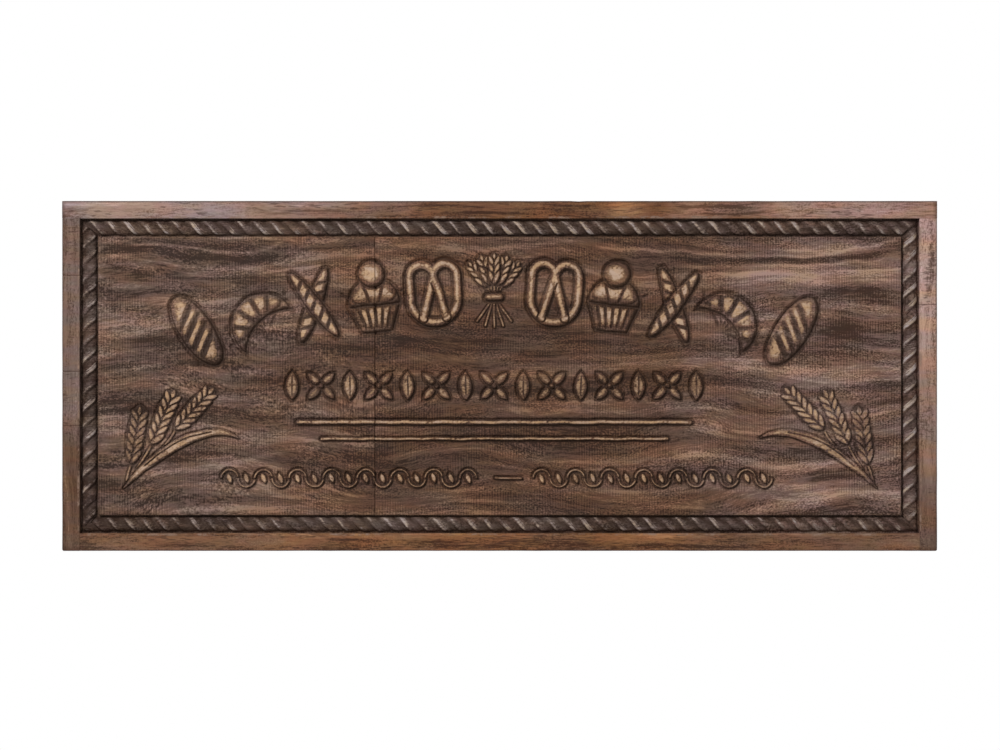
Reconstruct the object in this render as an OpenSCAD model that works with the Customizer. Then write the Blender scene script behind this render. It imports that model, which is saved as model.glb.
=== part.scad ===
// Carved wooden bakery sign: a half-lapped edging frame round a panel of tongued and grooved staves.
// A rope moulding is planted in a sunken channel. Three battens and two hinged D-ring hangers are behind.
// X runs along the sign, Z is up and Y runs through it. The face looks along -Y and the wall is towards +Y.
// The origin is the centre of the sign's box. Sizes are in millimetres and angles in degrees.

/* [Sign] */
// Overall width of the sign
sign_w = 1000; // [820:1:1300]
// Overall height of the sign
sign_h = 400; // [340:1:520]
// Depth of the edging, from its face to the wall
frame_depth = 32; // [31:0.5:44]
// Radius of the four outer corners
corner_r = 2; // [0.5:0.1:5]

/* [Edging] */
// Width of the flat edging on the face
border_w = 20; // [16:0.5:32]
// Chamfer along the edging's outer arris
border_chamfer = 1; // [0.3:0.1:3]
// Depth of the groove that takes the panel's tongue
groove_depth = 6; // [5:0.5:9]

/* [Panel] */
// Thickness of the panel
panel_t = 16; // [14:0.5:17]
// How far the carved field lies below the edging's face
field_drop = 1.5; // [0.5:0.1:2.5]
// Distance of the upright joint to the left of the sign's centre
joint_offset = 142.5; // [60:0.5:200]
// Thickness of the tongues on the staves
tongue_t = 5; // [3:0.1:6]
// Length of the tongues on the staves
tongue_l = 4.5; // [2:0.1:5.5]
// Width of a groove beyond its tongue, and its spare depth between staves
tongue_play = 0.3; // [0.1:0.05:0.6]

/* [Rope moulding] */
// Width of the channel that holds the rope
channel_w = 21; // [19:0.5:30]
// Depth of the channel below the edging's face
channel_depth = 8; // [7.6:0.1:9]
// Width of the rope moulding at its flat back
rope_w = 17.5; // [15.5:0.1:19]
// Height of the rope moulding
rope_h = 7.5; // [5:0.1:7.7]
// Spacing of the strands along the rope
strand_pitch = 18.6; // [14:0.1:30]
// Depth of the cut between two strands
strand_cut = 4; // [1:0.1:4.5]
// Width of that cut at the rope's crown
strand_gap = 3; // [1:0.1:6]
// Lean of the strands from straight across the rope
strand_lean = 40; // [20:1:50]

/* [Carving] */
// Height of the carved forms above the field
carve_rise = 1.2; // [0.4:0.1:1.4]
// Distance of the carving's middle to the left of the sign's centre
carve_shift = 6; // [0:0.5:12]
// Height of the arched row's middle motif above the sign's centre
arch_z = 98; // [90:0.5:104]
// Radius of the arch through the motifs' middles
arch_r = 1266; // [900:1:1800]
// Spacing of the motifs along the arch
arch_pitch = 69; // [66:0.5:72]
// Height of the straight band's middle above the sign's centre
band_z = -11.5; // [-16:0.5:-6]
// Spacing of the kernels and rosettes in the band
band_pitch = 33; // [30:0.5:38]
// Length of the upper rule
upper_rule_l = 448; // [300:1:520]
// Width of the upper rule
upper_rule_w = 5.5; // [2:0.1:9]
// Height of the upper rule's middle above the sign's centre
upper_rule_z = -53; // [-57:0.5:-46]
// Length of the lower rule
lower_rule_l = 395; // [250:1:480]
// Width of the lower rule
lower_rule_w = 3.5; // [2:0.1:7]
// Height of the lower rule's middle above the sign's centre
lower_rule_z = -72; // [-76:0.5:-66]
// Height of the vine's middle above the sign's centre
vine_z = -117; // [-125:0.5:-105]
// Width of the vine's stem
vine_w = 2.6; // [1.5:0.1:4]

/* [Battens] */
// Thickness of the battens
batten_t = 7.5; // [6:0.5:8.5]
// Width of the two outer battens
batten_w = 45; // [40:1:60]
// Width of the batten behind the upright joint
joint_batten_w = 60; // [50:1:80]
// Distance of each outer batten's middle from the sign's end
batten_inset = 170; // [110:1:210]
// Chamfer along the battens' edges
batten_chamfer = 2; // [0.5:0.1:3]
// Gap between a batten's end and the edging
batten_end_gap = 1; // [0.2:0.1:4]

/* [Batten screws] */
// Diameter of the screws' shank
screw_d = 3.5; // [2.5:0.1:4]
// Diameter of their countersunk head
screw_head_d = 7; // [6:0.1:8]
// Length of the screws
screw_l = 16; // [13:0.5:17]
// Distance of an outer batten's screws from its middle, to left and right by turns
screw_stagger = 14; // [12.5:0.5:16]
// Distance of the joint batten's screws from the joint
joint_screw_x = 15; // [10:0.5:20]

/* [Hangers] */
// Height of the rings' hinge above the sign's centre
hanger_z = 110; // [60:1:140]
// Diameter of the ring's wire
ring_wire_d = 3; // [2:0.1:4]
// Radius of the ring's bow at the middle of the wire
ring_r = 13; // [11.5:0.5:18]
// Radial clearance of the wire in the strap's eye
eye_play = 0.08; // [0.02:0.01:0.1]
// Thickness of the strap
strap_t = 1; // [0.8:0.1:1.5]
// Width of the strap
strap_w = 16; // [12:0.5:18]
// Height of the eye off the batten, which keeps the folded ring clear of the strap
eye_lift = 0.4; // [0.3:0.1:0.7]
// Distance of the first strap screw beyond the folded ring
strap_screw_gap = 6; // [4:0.5:12]
// Spacing of the two strap screws
strap_screw_spacing = 12; // [9:0.5:18]
// Diameter of the strap screws' shank
strap_screw_d = 3; // [2:0.1:3.4]
// Length of the strap screws' shank
strap_screw_l = 12; // [9:0.5:14]
// Diameter of their pan head
strap_head_d = 6; // [5:0.1:7]
// Height of their pan head
strap_head_h = 1.8; // [1.2:0.1:2.4]

/* [Hidden] */

LEFT = -1;
RIGHT = 1;
STAVE_ROWS = 5;
// How far a cutting shape runs past the surface that it cuts
over = 1;
// Clearance round a screw in its hole
screw_play = 0.05;
// Width and depth of the recess in a screw's head
recess_w = 1;
recess_depth = 1;

// Levels through the sign, from the face to the wall
face_y = -frame_depth / 2;
wall_y = frame_depth / 2;
field_y = face_y + field_drop;
channel_y = face_y + channel_depth;
panel_back_y = field_y + panel_t;
batten_back_y = panel_back_y + batten_t;
tongue_y = (channel_y + panel_back_y) / 2;

// The opening inside the edging, which the panel fills, and the field inside the channel
inner_w = sign_w - 2 * border_w;
inner_h = sign_h - 2 * border_w;
field_w = inner_w - 2 * channel_w;
field_h = inner_h - 2 * channel_w;
stave_h = inner_h / STAVE_ROWS;
joint_x = -joint_offset;
batten_x = sign_w / 2 - batten_inset;

// The rope is a slice of a cylinder, wide rope_w and high rope_h
rope_r = (rope_w * rope_w / 4 + rope_h * rope_h) / (2 * rope_h);

// The carving's pieces, with [x, z] places measured from the sign's centre
ARCH_MOTIFS = ["loaf", "croissant", "baguettes", "brioche", "pretzel", "sheaf",
    "pretzel", "brioche", "baguettes", "croissant", "loaf"];
BAND_COUNT = 15;
KERNEL = [15, 33];
PETAL = [9, 20];
carve_x = -carve_shift;
// Height of the arch's tall motifs, and the width of the cuts scored in them
motif_h = 90;
score_w = 2;
// The vine's two runs, from one end to the other, and the dash between them
VINE_RUNS = [[-325, -20], [37, 313]];
VINE_BAY = 19.5;
DASH = [-4, 25];
// The left sprig: each ear's foot, tip and width, the foot of the stalks, and the leaf's tip and rise
EARS = [[[-423, -100], [-409, -37], 20], [[-399, -76], [-369, -19], 20], [[-372, -62], [-326, -15], 20]];
SPRIG_FOOT = [-431, -128];
LEAF_TIP = [-301, -68];
LEAF_RISE = 26;
LEAF_W = 7;
EAR_PAIRS = 5;
KERNEL_TURN = 28;
stalk_w = 3;

// Places of the hangers
ring_reach = ring_r + ring_wire_d / 2;
eye_r = ring_wire_d / 2 + eye_play;
eye_y = batten_back_y + eye_lift + strap_t + eye_r;
strap_back_y = batten_back_y + strap_t;
strap_screw_zs = [for (i = [0, 1]) hanger_z - ring_reach - strap_screw_gap - i * strap_screw_spacing];

function stave_bottom(row) = -inner_h / 2 + (row - 1) * stave_h;
function row_z(row) = stave_bottom(row) + stave_h / 2;
function stagger(row) = row % 2 == 0 ? screw_stagger : -screw_stagger;
function joint_screw(side) = joint_x + side * joint_screw_x;
function outer_screw(side, row) = side * batten_x + stagger(row);

// A box from its lowest to its highest corner
module block(low, high) {
    translate(low) cube(high - low);
}

// A round bar along Y from one level to another
module rod_y(x, z, y_from, y_to, d) {
    translate([x, y_from, z]) rotate([-90, 0, 0]) cylinder(d = d, h = y_to - y_from, $fn = 32);
}

// A cone along Y that widens towards the wall
module cone_y(x, z, y_from, y_to, d_from, d_to) {
    translate([x, y_from, z])
        rotate([-90, 0, 0])
            cylinder(d1 = d_from, d2 = d_to, h = y_to - y_from, $fn = 32);
}

// The hole for a screw of diameter d, from one level to another, larger all round by screw_play
module screw_hole(x, z, y_from, y_to, d) {
    rod_y(x, z, y_from - screw_play, y_to, d + 2 * screw_play);
}

// The whole outline of the sign with its rounded corners and eased front arris
module outline() {
    difference() {
        union() {
            block([-sign_w / 2 + corner_r, face_y, -sign_h / 2], [sign_w / 2 - corner_r, wall_y, sign_h / 2]);
            block([-sign_w / 2, face_y, -sign_h / 2 + corner_r], [sign_w / 2, wall_y, sign_h / 2 - corner_r]);
            for (x = [-1, 1], z = [-1, 1])
                rod_y(x * (sign_w / 2 - corner_r), z * (sign_h / 2 - corner_r), face_y, wall_y, 2 * corner_r);
        }
        for (z = [-1, 1])
            translate([0, face_y, z * sign_h / 2]) arris(sign_w);
        for (x = [-1, 1])
            translate([x * sign_w / 2, face_y, 0]) rotate([0, 90, 0]) arris(sign_h);
    }
}

// A bar with a square section turned on its corner, which takes a chamfer off an edge along X
module arris(length) {
    rotate([45, 0, 0])
        cube([length + 2 * over, border_chamfer * sqrt(2), border_chamfer * sqrt(2)], center = true);
}

// A rail along the top (end = 1) or the bottom (end = -1) and its groove
module rail(end) {
    inner_z = end * inner_h / 2;
    difference() {
        intersection() {
            outline();
            block([-sign_w / 2, face_y, min(inner_z, end * sign_h / 2)],
                [sign_w / 2, wall_y, max(inner_z, end * sign_h / 2)]);
        }
        block([-inner_w / 2, tongue_y - (tongue_t + tongue_play) / 2, inner_z - groove_depth],
            [inner_w / 2, tongue_y + (tongue_t + tongue_play) / 2, inner_z + groove_depth]);
        for (x = [-1, 1])
            translate([x * sign_w / 2, 0, end * sign_h / 2]) lap_cut(end);
    }
}

// A stile on the left or the right and its groove
module stile(side) {
    inner_x = side * inner_w / 2;
    difference() {
        intersection() {
            outline();
            block([min(inner_x, side * sign_w / 2), face_y, -sign_h / 2],
                [max(inner_x, side * sign_w / 2), wall_y, sign_h / 2]);
        }
        block([inner_x - groove_depth, tongue_y - (tongue_t + tongue_play) / 2, -inner_h / 2],
            [inner_x + groove_depth, tongue_y + (tongue_t + tongue_play) / 2, inner_h / 2]);
        for (z = [-1, 1])
            translate([side * sign_w / 2, 0, z * sign_h / 2]) lap_cut(-z);
    }
}

// The half that a lap takes away, about the sign's corner: the front one with -1, the back one with 1.
// A rail keeps its front at the top and its back at the bottom, and a stile the other halves.
module lap_cut(half) {
    depth = frame_depth / 2 + over;
    translate([0, half * depth / 2, 0]) cube([2 * border_w, depth, 2 * border_w], center = true);
}

// The channel in front of its floor, all round the panel
module channel_space() {
    difference() {
        block([-inner_w / 2 - over, face_y, -inner_h / 2 - over],
            [inner_w / 2 + over, channel_y, inner_h / 2 + over]);
        block([-field_w / 2, face_y - over, -field_h / 2], [field_w / 2, channel_y + over, field_h / 2]);
    }
}

// A tongue along X, or the groove for one, between two heights
module tongue(x_from, x_to, z_from, z_to, play = 0) {
    half = (tongue_t + play) / 2;
    block([x_from, tongue_y - half, z_from], [x_to, tongue_y + half, z_to]);
}

// A flat lens with pointed ends, upright about the origin
module lens(w, h) {
    r = (w * w + h * h) / (4 * w);
    intersection() {
        translate([r - w / 2, 0]) circle(r = r, $fn = 96);
        translate([-r + w / 2, 0]) circle(r = r, $fn = 96);
    }
}

// A flat bar with round ends between two points
module bar(from, to, w) {
    run = to - from;
    translate(from) rotate(atan2(run[1], run[0])) {
        translate([0, -w / 2]) square([norm(run), w]);
        for (x = [0, norm(run)])
            translate([x, 0]) circle(d = w, $fn = 24);
    }
}

// The upper half of a disc
module half_disc(r) {
    intersection() {
        circle(r = r, $fn = 64);
        translate([-2 * r, 0]) square([4 * r, 2 * r]);
    }
}

// A half ring that opens downwards, with square ends
module half_ring(r, w) {
    difference() {
        half_disc(r + w / 2);
        circle(r = r - w / 2, $fn = 64);
    }
}

// A crescent on a chord along X, which rises by outer and is hollowed by inner
module crescent(chord, outer, inner) {
    outer_r = (chord * chord / 4 + outer * outer) / (2 * outer);
    inner_r = (chord * chord / 4 + inner * inner) / (2 * inner);
    difference() {
        translate([0, outer - outer_r]) circle(r = outer_r, $fn = 96);
        translate([0, inner - inner_r]) circle(r = inner_r, $fn = 96);
        translate([-chord, -2 * chord]) square([2 * chord, 2 * chord]);
    }
}

// A flat oval of four arcs, upright about the origin. The side arcs would just touch ends of radius end_r.
// The ends are swollen a little, so that the arcs cross.
module oval(w, h, end_r) {
    swollen = 1.04;
    end_y = h / 2 - end_r;
    side_r = (w * w / 4 + end_y * end_y - end_r * end_r) / (w - 2 * end_r);
    touch_y = side_r * end_y / (side_r - end_r);
    for (y = [-end_y, end_y])
        translate([0, y]) circle(r = swollen * end_r, $fn = 48);
    intersection() {
        translate([side_r - w / 2, 0]) circle(r = side_r, $fn = 96);
        translate([-side_r + w / 2, 0]) circle(r = side_r, $fn = 96);
        square([w, 2 * touch_y], center = true);
    }
}

// A long loaf with slanted scores, which stay clear of its ends
module loaf(w, h, end_r, scores) {
    step = (h - 2 * end_r) / (scores + 1);
    difference() {
        oval(w, h, end_r);
        for (i = [1 : scores])
            translate([0, (i - (scores + 1) / 2) * step])
                rotate(35)
                    square([w * 0.62, score_w], center = true);
    }
}

module croissant() {
    chord = 72;
    rise = 44;
    hollow = 15;
    rotate(32) translate([0, -rise / 2])
        difference() {
            crescent(chord, rise, hollow);
            for (turn = [-56, -19, 19, 56])
                rotate(turn) translate([-score_w / 2, hollow + 4]) square([score_w, rise]);
        }
}

module baguettes() {
    for (turn = [-28, 28])
        rotate(turn) loaf(17, motif_h, 4, 5);
}

// A fluted brioche with a round head
module brioche() {
    foot_y = -40;
    foot_w = 34;
    rim_y = -8;
    rim_w = 58;
    head_y = 26;
    head_r = 15;
    flutes = 6;
    difference() {
        union() {
            polygon([[-foot_w / 2, foot_y], [foot_w / 2, foot_y], [rim_w / 2, rim_y], [-rim_w / 2, rim_y]]);
            translate([0, rim_y]) half_disc(rim_w / 2);
            translate([0, head_y]) circle(r = head_r, $fn = 64);
        }
        for (i = [0 : flutes - 1]) {
            along = (i + 0.5) / flutes - 0.5;
            bar([along * foot_w, foot_y - score_w], [along * rim_w, rim_y - 2 * score_w], score_w);
        }
        translate([0, head_y]) rotate(180) half_ring(head_r + score_w / 2, score_w);
    }
}

module pretzel() {
    w = 10;
    lobe_r = 13.5;
    lobe_y = 18;
    belly_y = -8;
    end_y = -30;
    for (side = [-1, 1]) {
        translate([side * lobe_r, lobe_y]) half_ring(lobe_r, w);
        bar([side * 2 * lobe_r, belly_y], [side * 2 * lobe_r, lobe_y], w);
        bar([0, lobe_y], [side * lobe_r, end_y], w);
    }
    translate([0, belly_y]) rotate(180) half_ring(2 * lobe_r, w);
}

// A tied bundle of five ears
module sheaf() {
    tie_y = -8;
    tie = [22, 8];
    ear_l = 34;
    for (turn = [-36, -18, 0, 18, 36])
        translate([0, tie_y]) rotate(turn) {
            translate([0, ear_l]) lens(9.5, ear_l);
            bar([0, -ear_l], [0, ear_l / 2], stalk_w);
        }
    translate([0, tie_y]) square(tie, center = true);
}

// Four petals about a centre
module rosette() {
    for (turn = [45, 135, 225, 315])
        rotate(turn) translate([0, PETAL[1] / 2 + 1]) lens(PETAL[0], PETAL[1]);
}

// A grain of corn with its crease
module kernel() {
    difference() {
        lens(KERNEL[0], KERNEL[1]);
        square([score_w / 2, KERNEL[1] * 0.7], center = true);
    }
}

// The motif of that name, upright about the origin
module motif(name) {
    if (name == "loaf") rotate(18) loaf(38, motif_h, 9, 4);
    if (name == "croissant") croissant();
    if (name == "baguettes") baguettes();
    if (name == "brioche") brioche();
    if (name == "pretzel") pretzel();
    if (name == "sheaf") sheaf();
}

// The arched row of motifs
module arch_row() {
    middle = (len(ARCH_MOTIFS) - 1) / 2;
    for (i = [0 : len(ARCH_MOTIFS) - 1]) {
        turn = (i - middle) * arch_pitch / arch_r * 180 / PI;
        translate([carve_x, arch_z - arch_r])
            rotate(-turn)
                translate([0, arch_r])
                    mirror([i > middle ? 1 : 0, 0]) motif(ARCH_MOTIFS[i]);
    }
}

// The straight band of kernels and rosettes by turns
module band_row() {
    for (i = [0 : BAND_COUNT - 1])
        translate([carve_x + (i - (BAND_COUNT - 1) / 2) * band_pitch, band_z])
            if (i % 2 == 0) kernel();
            else rosette();
}

// A raised rule with round ends
module rule(length, w, z) {
    bar([carve_x - length / 2, z], [carve_x + length / 2, z], w);
}

// The vine's stem of half rings, up and down by turns, with a leaf in each bay
module vine(run) {
    bays = floor((run[1] - run[0]) / VINE_BAY);
    start = (run[0] + run[1] - bays * VINE_BAY) / 2;
    for (i = [0 : bays - 1])
        translate([start + (i + 0.5) * VINE_BAY, vine_z]) rotate(i % 2 * 180) {
            half_ring(VINE_BAY / 2, vine_w);
            rotate(20) lens(6, 13);
        }
}

// An ear of wheat from its foot to its tip: slanted kernels on both sides and one at the tip
module ear(foot, tip, w) {
    run = tip - foot;
    step = norm(run) / (EAR_PAIRS + 1.5);
    translate(foot) rotate(atan2(run[1], run[0]) - 90) {
        for (i = [0 : EAR_PAIRS - 1], side = [-1, 1])
            translate([side * w / 4, (i + 0.8) * step])
                rotate(-side * KERNEL_TURN)
                    lens(w * 0.36, step * 1.35);
        translate([0, norm(run) - step * 0.7]) lens(w * 0.34, step * 1.4);
    }
}

// The left sprig: three ears on their stalks and a long leaf
module sprig() {
    leaf_run = LEAF_TIP - SPRIG_FOOT;
    for (one = EARS) {
        ear(one[0], one[1], one[2]);
        bar(SPRIG_FOOT, one[0], stalk_w);
    }
    translate(SPRIG_FOOT) rotate(atan2(leaf_run[1], leaf_run[0])) translate([norm(leaf_run) / 2, 0])
        crescent(norm(leaf_run), LEAF_RISE, LEAF_RISE - LEAF_W);
}

// All the carving, flat
module carving() {
    arch_row();
    band_row();
    rule(upper_rule_l, upper_rule_w, upper_rule_z);
    rule(lower_rule_l, lower_rule_w, lower_rule_z);
    for (run = VINE_RUNS)
        vine(run);
    bar([DASH[0], vine_z], [DASH[1], vine_z], vine_w);
    sprig();
    mirror([1, 0]) sprig();
}

// The carving on one stave, from inside its face to carve_rise above it
module stave_carving(x_from, x_to, z_from, z_to) {
    translate([0, field_y + over, 0])
        rotate([90, 0, 0])
            linear_extrude(height = carve_rise + over)
                intersection() {
                    carving();
                    translate([x_from, z_from]) square([x_to - x_from, z_to - z_from]);
                }
}

// A stave of the panel on one side of the upright joint, with row 1 the lowest
module stave(side, row) {
    outer_x = side * inner_w / 2;
    tongue_end_x = outer_x + side * tongue_l;
    x_from = min(outer_x, joint_x);
    x_to = max(outer_x, joint_x);
    z_from = stave_bottom(row);
    z_to = z_from + stave_h;
    difference() {
        union() {
            block([x_from, field_y, z_from], [x_to, panel_back_y, z_to]);
            stave_carving(x_from, x_to, z_from, z_to);
            tongue(x_from, x_to, z_to, z_to + tongue_l);
            tongue(min(outer_x, tongue_end_x), max(outer_x, tongue_end_x), z_from, z_to);
            if (row == 1)
                tongue(x_from, x_to, z_from - tongue_l, z_from);
        }
        if (row > 1)
            tongue(x_from, x_to, z_from, z_from + tongue_l + tongue_play, tongue_play);
        channel_space();
        for (x = [outer_screw(side, row), joint_screw(side)])
            screw_hole(x, row_z(row), batten_back_y - screw_l, panel_back_y + over, screw_d);
        for (z = strap_screw_zs)
            screw_hole(side * batten_x, z, strap_back_y - strap_screw_l, panel_back_y + over, strap_screw_d);
    }
}

// A straight length of rope moulding along X with its back on the channel's floor.
// Its mitred ends have their long edge at the top.
module rope(middle_length) {
    half = middle_length / 2;
    spread = rope_w / 2;
    cuts = floor((half + spread) / strand_pitch);
    intersection() {
        difference() {
            translate([-half - spread, channel_y - rope_h + rope_r, 0])
                rotate([0, 90, 0]) cylinder(r = rope_r, h = middle_length + rope_w, $fn = 96);
            block([-half - rope_w, channel_y, -rope_w], [half + rope_w, channel_y + 2 * rope_r, rope_w]);
            for (i = [-cuts : cuts])
                translate([i * strand_pitch, channel_y - rope_h, 0])
                    rotate([0, -strand_lean, 0])
                        strand_groove();
        }
        rotate([90, 0, 0])
            linear_extrude(height = 4 * rope_w, center = true)
                polygon([[-half - spread, spread], [half + spread, spread], [half - spread, -spread],
                    [-half + spread, -spread]]);
    }
}

// The V-shaped bar that cuts a groove between two strands, upright with its edge strand_cut deep
module strand_groove() {
    half = strand_gap / 2 * (strand_cut + over) / strand_cut;
    linear_extrude(height = 4 * rope_w, center = true)
        polygon([[0, strand_cut], [-half, -over], [half, -over]]);
}

// Puts a length of rope in the channel on one side of the sign.
// It is turned by 0 at the top, 90 on the right, 180 at the bottom and 270 on the left.
module rope_side(turn) {
    upright = turn == 90 || turn == 270;
    run = upright ? inner_h : inner_w;
    reach = upright ? inner_w : inner_h;
    rotate([0, turn, 0]) translate([0, 0, (reach - channel_w) / 2]) rope(run - channel_w);
}

// An upright batten with chamfered edges, and the holes for its screws at [x, row] places
module batten(x, w, screw_places, strap_holes) {
    half_h = inner_h / 2 - batten_end_gap;
    difference() {
        translate([x, 0, -half_h])
            linear_extrude(height = 2 * half_h)
                polygon([
                    [-w / 2, panel_back_y],
                    [w / 2, panel_back_y],
                    [w / 2, batten_back_y - batten_chamfer],
                    [w / 2 - batten_chamfer, batten_back_y],
                    [-w / 2 + batten_chamfer, batten_back_y],
                    [-w / 2, batten_back_y - batten_chamfer]
                ]);
        for (place = screw_places) {
            screw_hole(place[0], row_z(place[1]), panel_back_y - over, batten_back_y + over, screw_d);
            countersink(place[0], row_z(place[1]), screw_play);
        }
        if (strap_holes)
            for (z = strap_screw_zs)
                screw_hole(x, z, panel_back_y - over, batten_back_y + over, strap_screw_d);
    }
}

// The cone of a countersunk head, flush with the batten's back and larger all round by play
module countersink(x, z, play = 0) {
    depth = (screw_head_d - screw_d) / 2;
    cone_y(x, z, batten_back_y - depth, batten_back_y, screw_d + 2 * play, screw_head_d + 2 * play);
}

function outer_places(side) = [for (row = [1 : STAVE_ROWS]) [outer_screw(side, row), row]];
joint_places = [for (side = [LEFT, RIGHT], row = [1 : STAVE_ROWS]) [joint_screw(side), row]];

// A crossed recess in a screw's head
module cross_recess(x, z, top_y, size) {
    translate([x, top_y, z])
        for (turn = [0, 90])
            rotate([0, turn, 0]) cube([size, 2 * recess_depth, recess_w], center = true);
}

// A countersunk wood screw with its head flush in the batten and its point in a stave
module batten_screw(x, z) {
    tip_y = batten_back_y - screw_l;
    difference() {
        union() {
            rod_y(x, z, tip_y + screw_d, batten_back_y - recess_depth, screw_d);
            cone_y(x, z, tip_y, tip_y + screw_d, screw_d / 4, screw_d);
            countersink(x, z);
        }
        cross_recess(x, z, batten_back_y, screw_head_d * 0.6);
    }
}

// A pan-head screw that holds a strap
module strap_screw(x, z) {
    top_y = strap_back_y + strap_head_h;
    difference() {
        union() {
            rod_y(x, z, strap_back_y - strap_screw_l, strap_back_y + recess_depth / 2, strap_screw_d);
            rod_y(x, z, strap_back_y, top_y, strap_head_d);
        }
        cross_recess(x, z, top_y, strap_head_d * 0.6);
    }
}

// A hanger's strap: a plate with a round end and a rolled eye for the ring
module hanger_strap(side) {
    x = side * batten_x;
    low_z = strap_screw_zs[1];
    difference() {
        union() {
            block([x - strap_w / 2, batten_back_y, low_z], [x + strap_w / 2, strap_back_y, hanger_z]);
            rod_y(x, low_z, batten_back_y, strap_back_y, strap_w);
            translate([x - strap_w / 2, eye_y, hanger_z])
                rotate([0, 90, 0]) cylinder(r = eye_r + strap_t, h = strap_w, $fn = 48);
        }
        translate([x - strap_w / 2 - over, eye_y, hanger_z])
            rotate([0, 90, 0]) cylinder(r = eye_r, h = strap_w + 2 * over, $fn = 48);
        for (z = strap_screw_zs)
            screw_hole(x, z, batten_back_y - over, strap_back_y + over, strap_screw_d);
    }
}

// A hanger's D-ring, hanging down from its straight bar in the eye
module hanger_ring(side) {
    translate([side * batten_x, eye_y, hanger_z]) {
        translate([-ring_r, 0, 0])
            rotate([0, 90, 0]) cylinder(d = ring_wire_d, h = 2 * ring_r, $fn = 48);
        for (end = [-1, 1])
            translate([end * ring_r, 0, 0]) sphere(d = ring_wire_d, $fn = 48);
        rotate([-90, 0, 0])
            rotate_extrude(angle = 180, $fn = 96) translate([ring_r, 0]) circle(d = ring_wire_d, $fn = 48);
    }
}

module top_rail() { color([0.50, 0.38, 0.31]) rail(1); }
module bottom_rail() { color([0.42, 0.31, 0.24]) rail(-1); }
module left_stile() { color([0.44, 0.35, 0.30]) stile(LEFT); }
module right_stile() { color([0.54, 0.43, 0.38]) stile(RIGHT); }

module stave_left(row) { color([0.38, 0.30, 0.26]) stave(LEFT, row); }
module stave_right(row) { color([0.40, 0.30, 0.24]) stave(RIGHT, row); }

module rope_piece(turn) { color([0.30, 0.24, 0.21]) rope_side(turn); }

module pine() { color([0.72, 0.56, 0.38]) children(); }
module batten_left() { pine() batten(-batten_x, batten_w, outer_places(LEFT), true); }
module batten_joint() { pine() batten(joint_x, joint_batten_w, joint_places, false); }
module batten_right() { pine() batten(batten_x, batten_w, outer_places(RIGHT), true); }

module batten_screws() {
    color([0.80, 0.68, 0.35])
        for (place = concat(outer_places(LEFT), joint_places, outer_places(RIGHT)))
            batten_screw(place[0], row_z(place[1]));
}

module strap_piece(side) { color([0.66, 0.66, 0.68]) hanger_strap(side); }
module ring_piece(side) { color([0.70, 0.70, 0.72]) hanger_ring(side); }

module hanger_screws() {
    color([0.66, 0.66, 0.68])
        for (side = [LEFT, RIGHT], z = strap_screw_zs)
            strap_screw(side * batten_x, z);
}

top_rail();
bottom_rail();
left_stile();
right_stile();
stave_left(1);  // stave_left_1
stave_left(2);  // stave_left_2
stave_left(3);  // stave_left_3
stave_left(4);  // stave_left_4
stave_left(5);  // stave_left_5
stave_right(1);  // stave_right_1
stave_right(2);  // stave_right_2
stave_right(3);  // stave_right_3
stave_right(4);  // stave_right_4
stave_right(5);  // stave_right_5
rope_piece(0);  // rope_top
rope_piece(90);  // rope_right
rope_piece(180);  // rope_bottom
rope_piece(270);  // rope_left
batten_left();
batten_joint();
batten_right();
batten_screws();
strap_piece(LEFT);  // hanger_strap_left
strap_piece(RIGHT);  // hanger_strap_right
ring_piece(LEFT);  // hanger_ring_left
ring_piece(RIGHT);  // hanger_ring_right
hanger_screws();
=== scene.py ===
"""Dresses the carved bakery sign: walnut edging, rope moulding, carved panel and the hardware behind.

Blender's unit is the metre. The carving is laid out in millimetres on the panel's face, with x to the right
and z up from the sign's centre, and becomes metres where its vertices are placed.
"""

import logging
import math
from collections.abc import Callable, Iterable, Sequence
from dataclasses import dataclass, field
from enum import Enum

import bpy
import numpy as np
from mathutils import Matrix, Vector


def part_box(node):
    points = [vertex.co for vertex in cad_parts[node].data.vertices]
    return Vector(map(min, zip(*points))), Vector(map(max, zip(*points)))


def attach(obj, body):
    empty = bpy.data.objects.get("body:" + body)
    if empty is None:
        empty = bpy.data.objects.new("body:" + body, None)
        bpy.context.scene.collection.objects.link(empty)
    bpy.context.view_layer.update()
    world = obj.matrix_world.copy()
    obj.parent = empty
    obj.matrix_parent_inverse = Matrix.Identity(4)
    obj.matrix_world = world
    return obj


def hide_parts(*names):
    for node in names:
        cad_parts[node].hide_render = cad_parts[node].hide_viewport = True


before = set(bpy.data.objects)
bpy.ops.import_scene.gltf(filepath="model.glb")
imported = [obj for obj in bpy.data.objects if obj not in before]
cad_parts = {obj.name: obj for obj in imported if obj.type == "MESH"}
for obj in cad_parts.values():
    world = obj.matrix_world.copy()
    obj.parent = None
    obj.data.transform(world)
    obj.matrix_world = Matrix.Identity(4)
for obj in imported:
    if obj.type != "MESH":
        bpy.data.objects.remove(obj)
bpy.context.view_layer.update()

LOG = logging.getLogger("sign")
MM = 0.001
SIGN_BODY = "sign"
# Values kept at the vertices: the rubbed colour, partly a painted highlight; the darkening, partly grime and
# partly painted shade; and the tone.
RUB_AND_HIGHLIGHT = "rub_and_highlight"
DIRT_AND_SHADE = "dirt_and_shade"
TONE = "tone"
# The strongest darkening at a carved form's foot: grime in the cut and painted shade.
FULL_DIRT_AND_SHADE = 0.94
# How far the rubbed gold is drawn towards the lit upper left, as a share of a form's shoulder: a painted
# highlight.
HIGHLIGHT_SHIFT = 0.13

Colour = tuple[float, float, float]
Values = np.ndarray
Distance = Callable[[Values, Values], Values]
Point = tuple[float, float]
Socket = bpy.types.NodeSocket
Given = dict[str | int, object]


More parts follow.
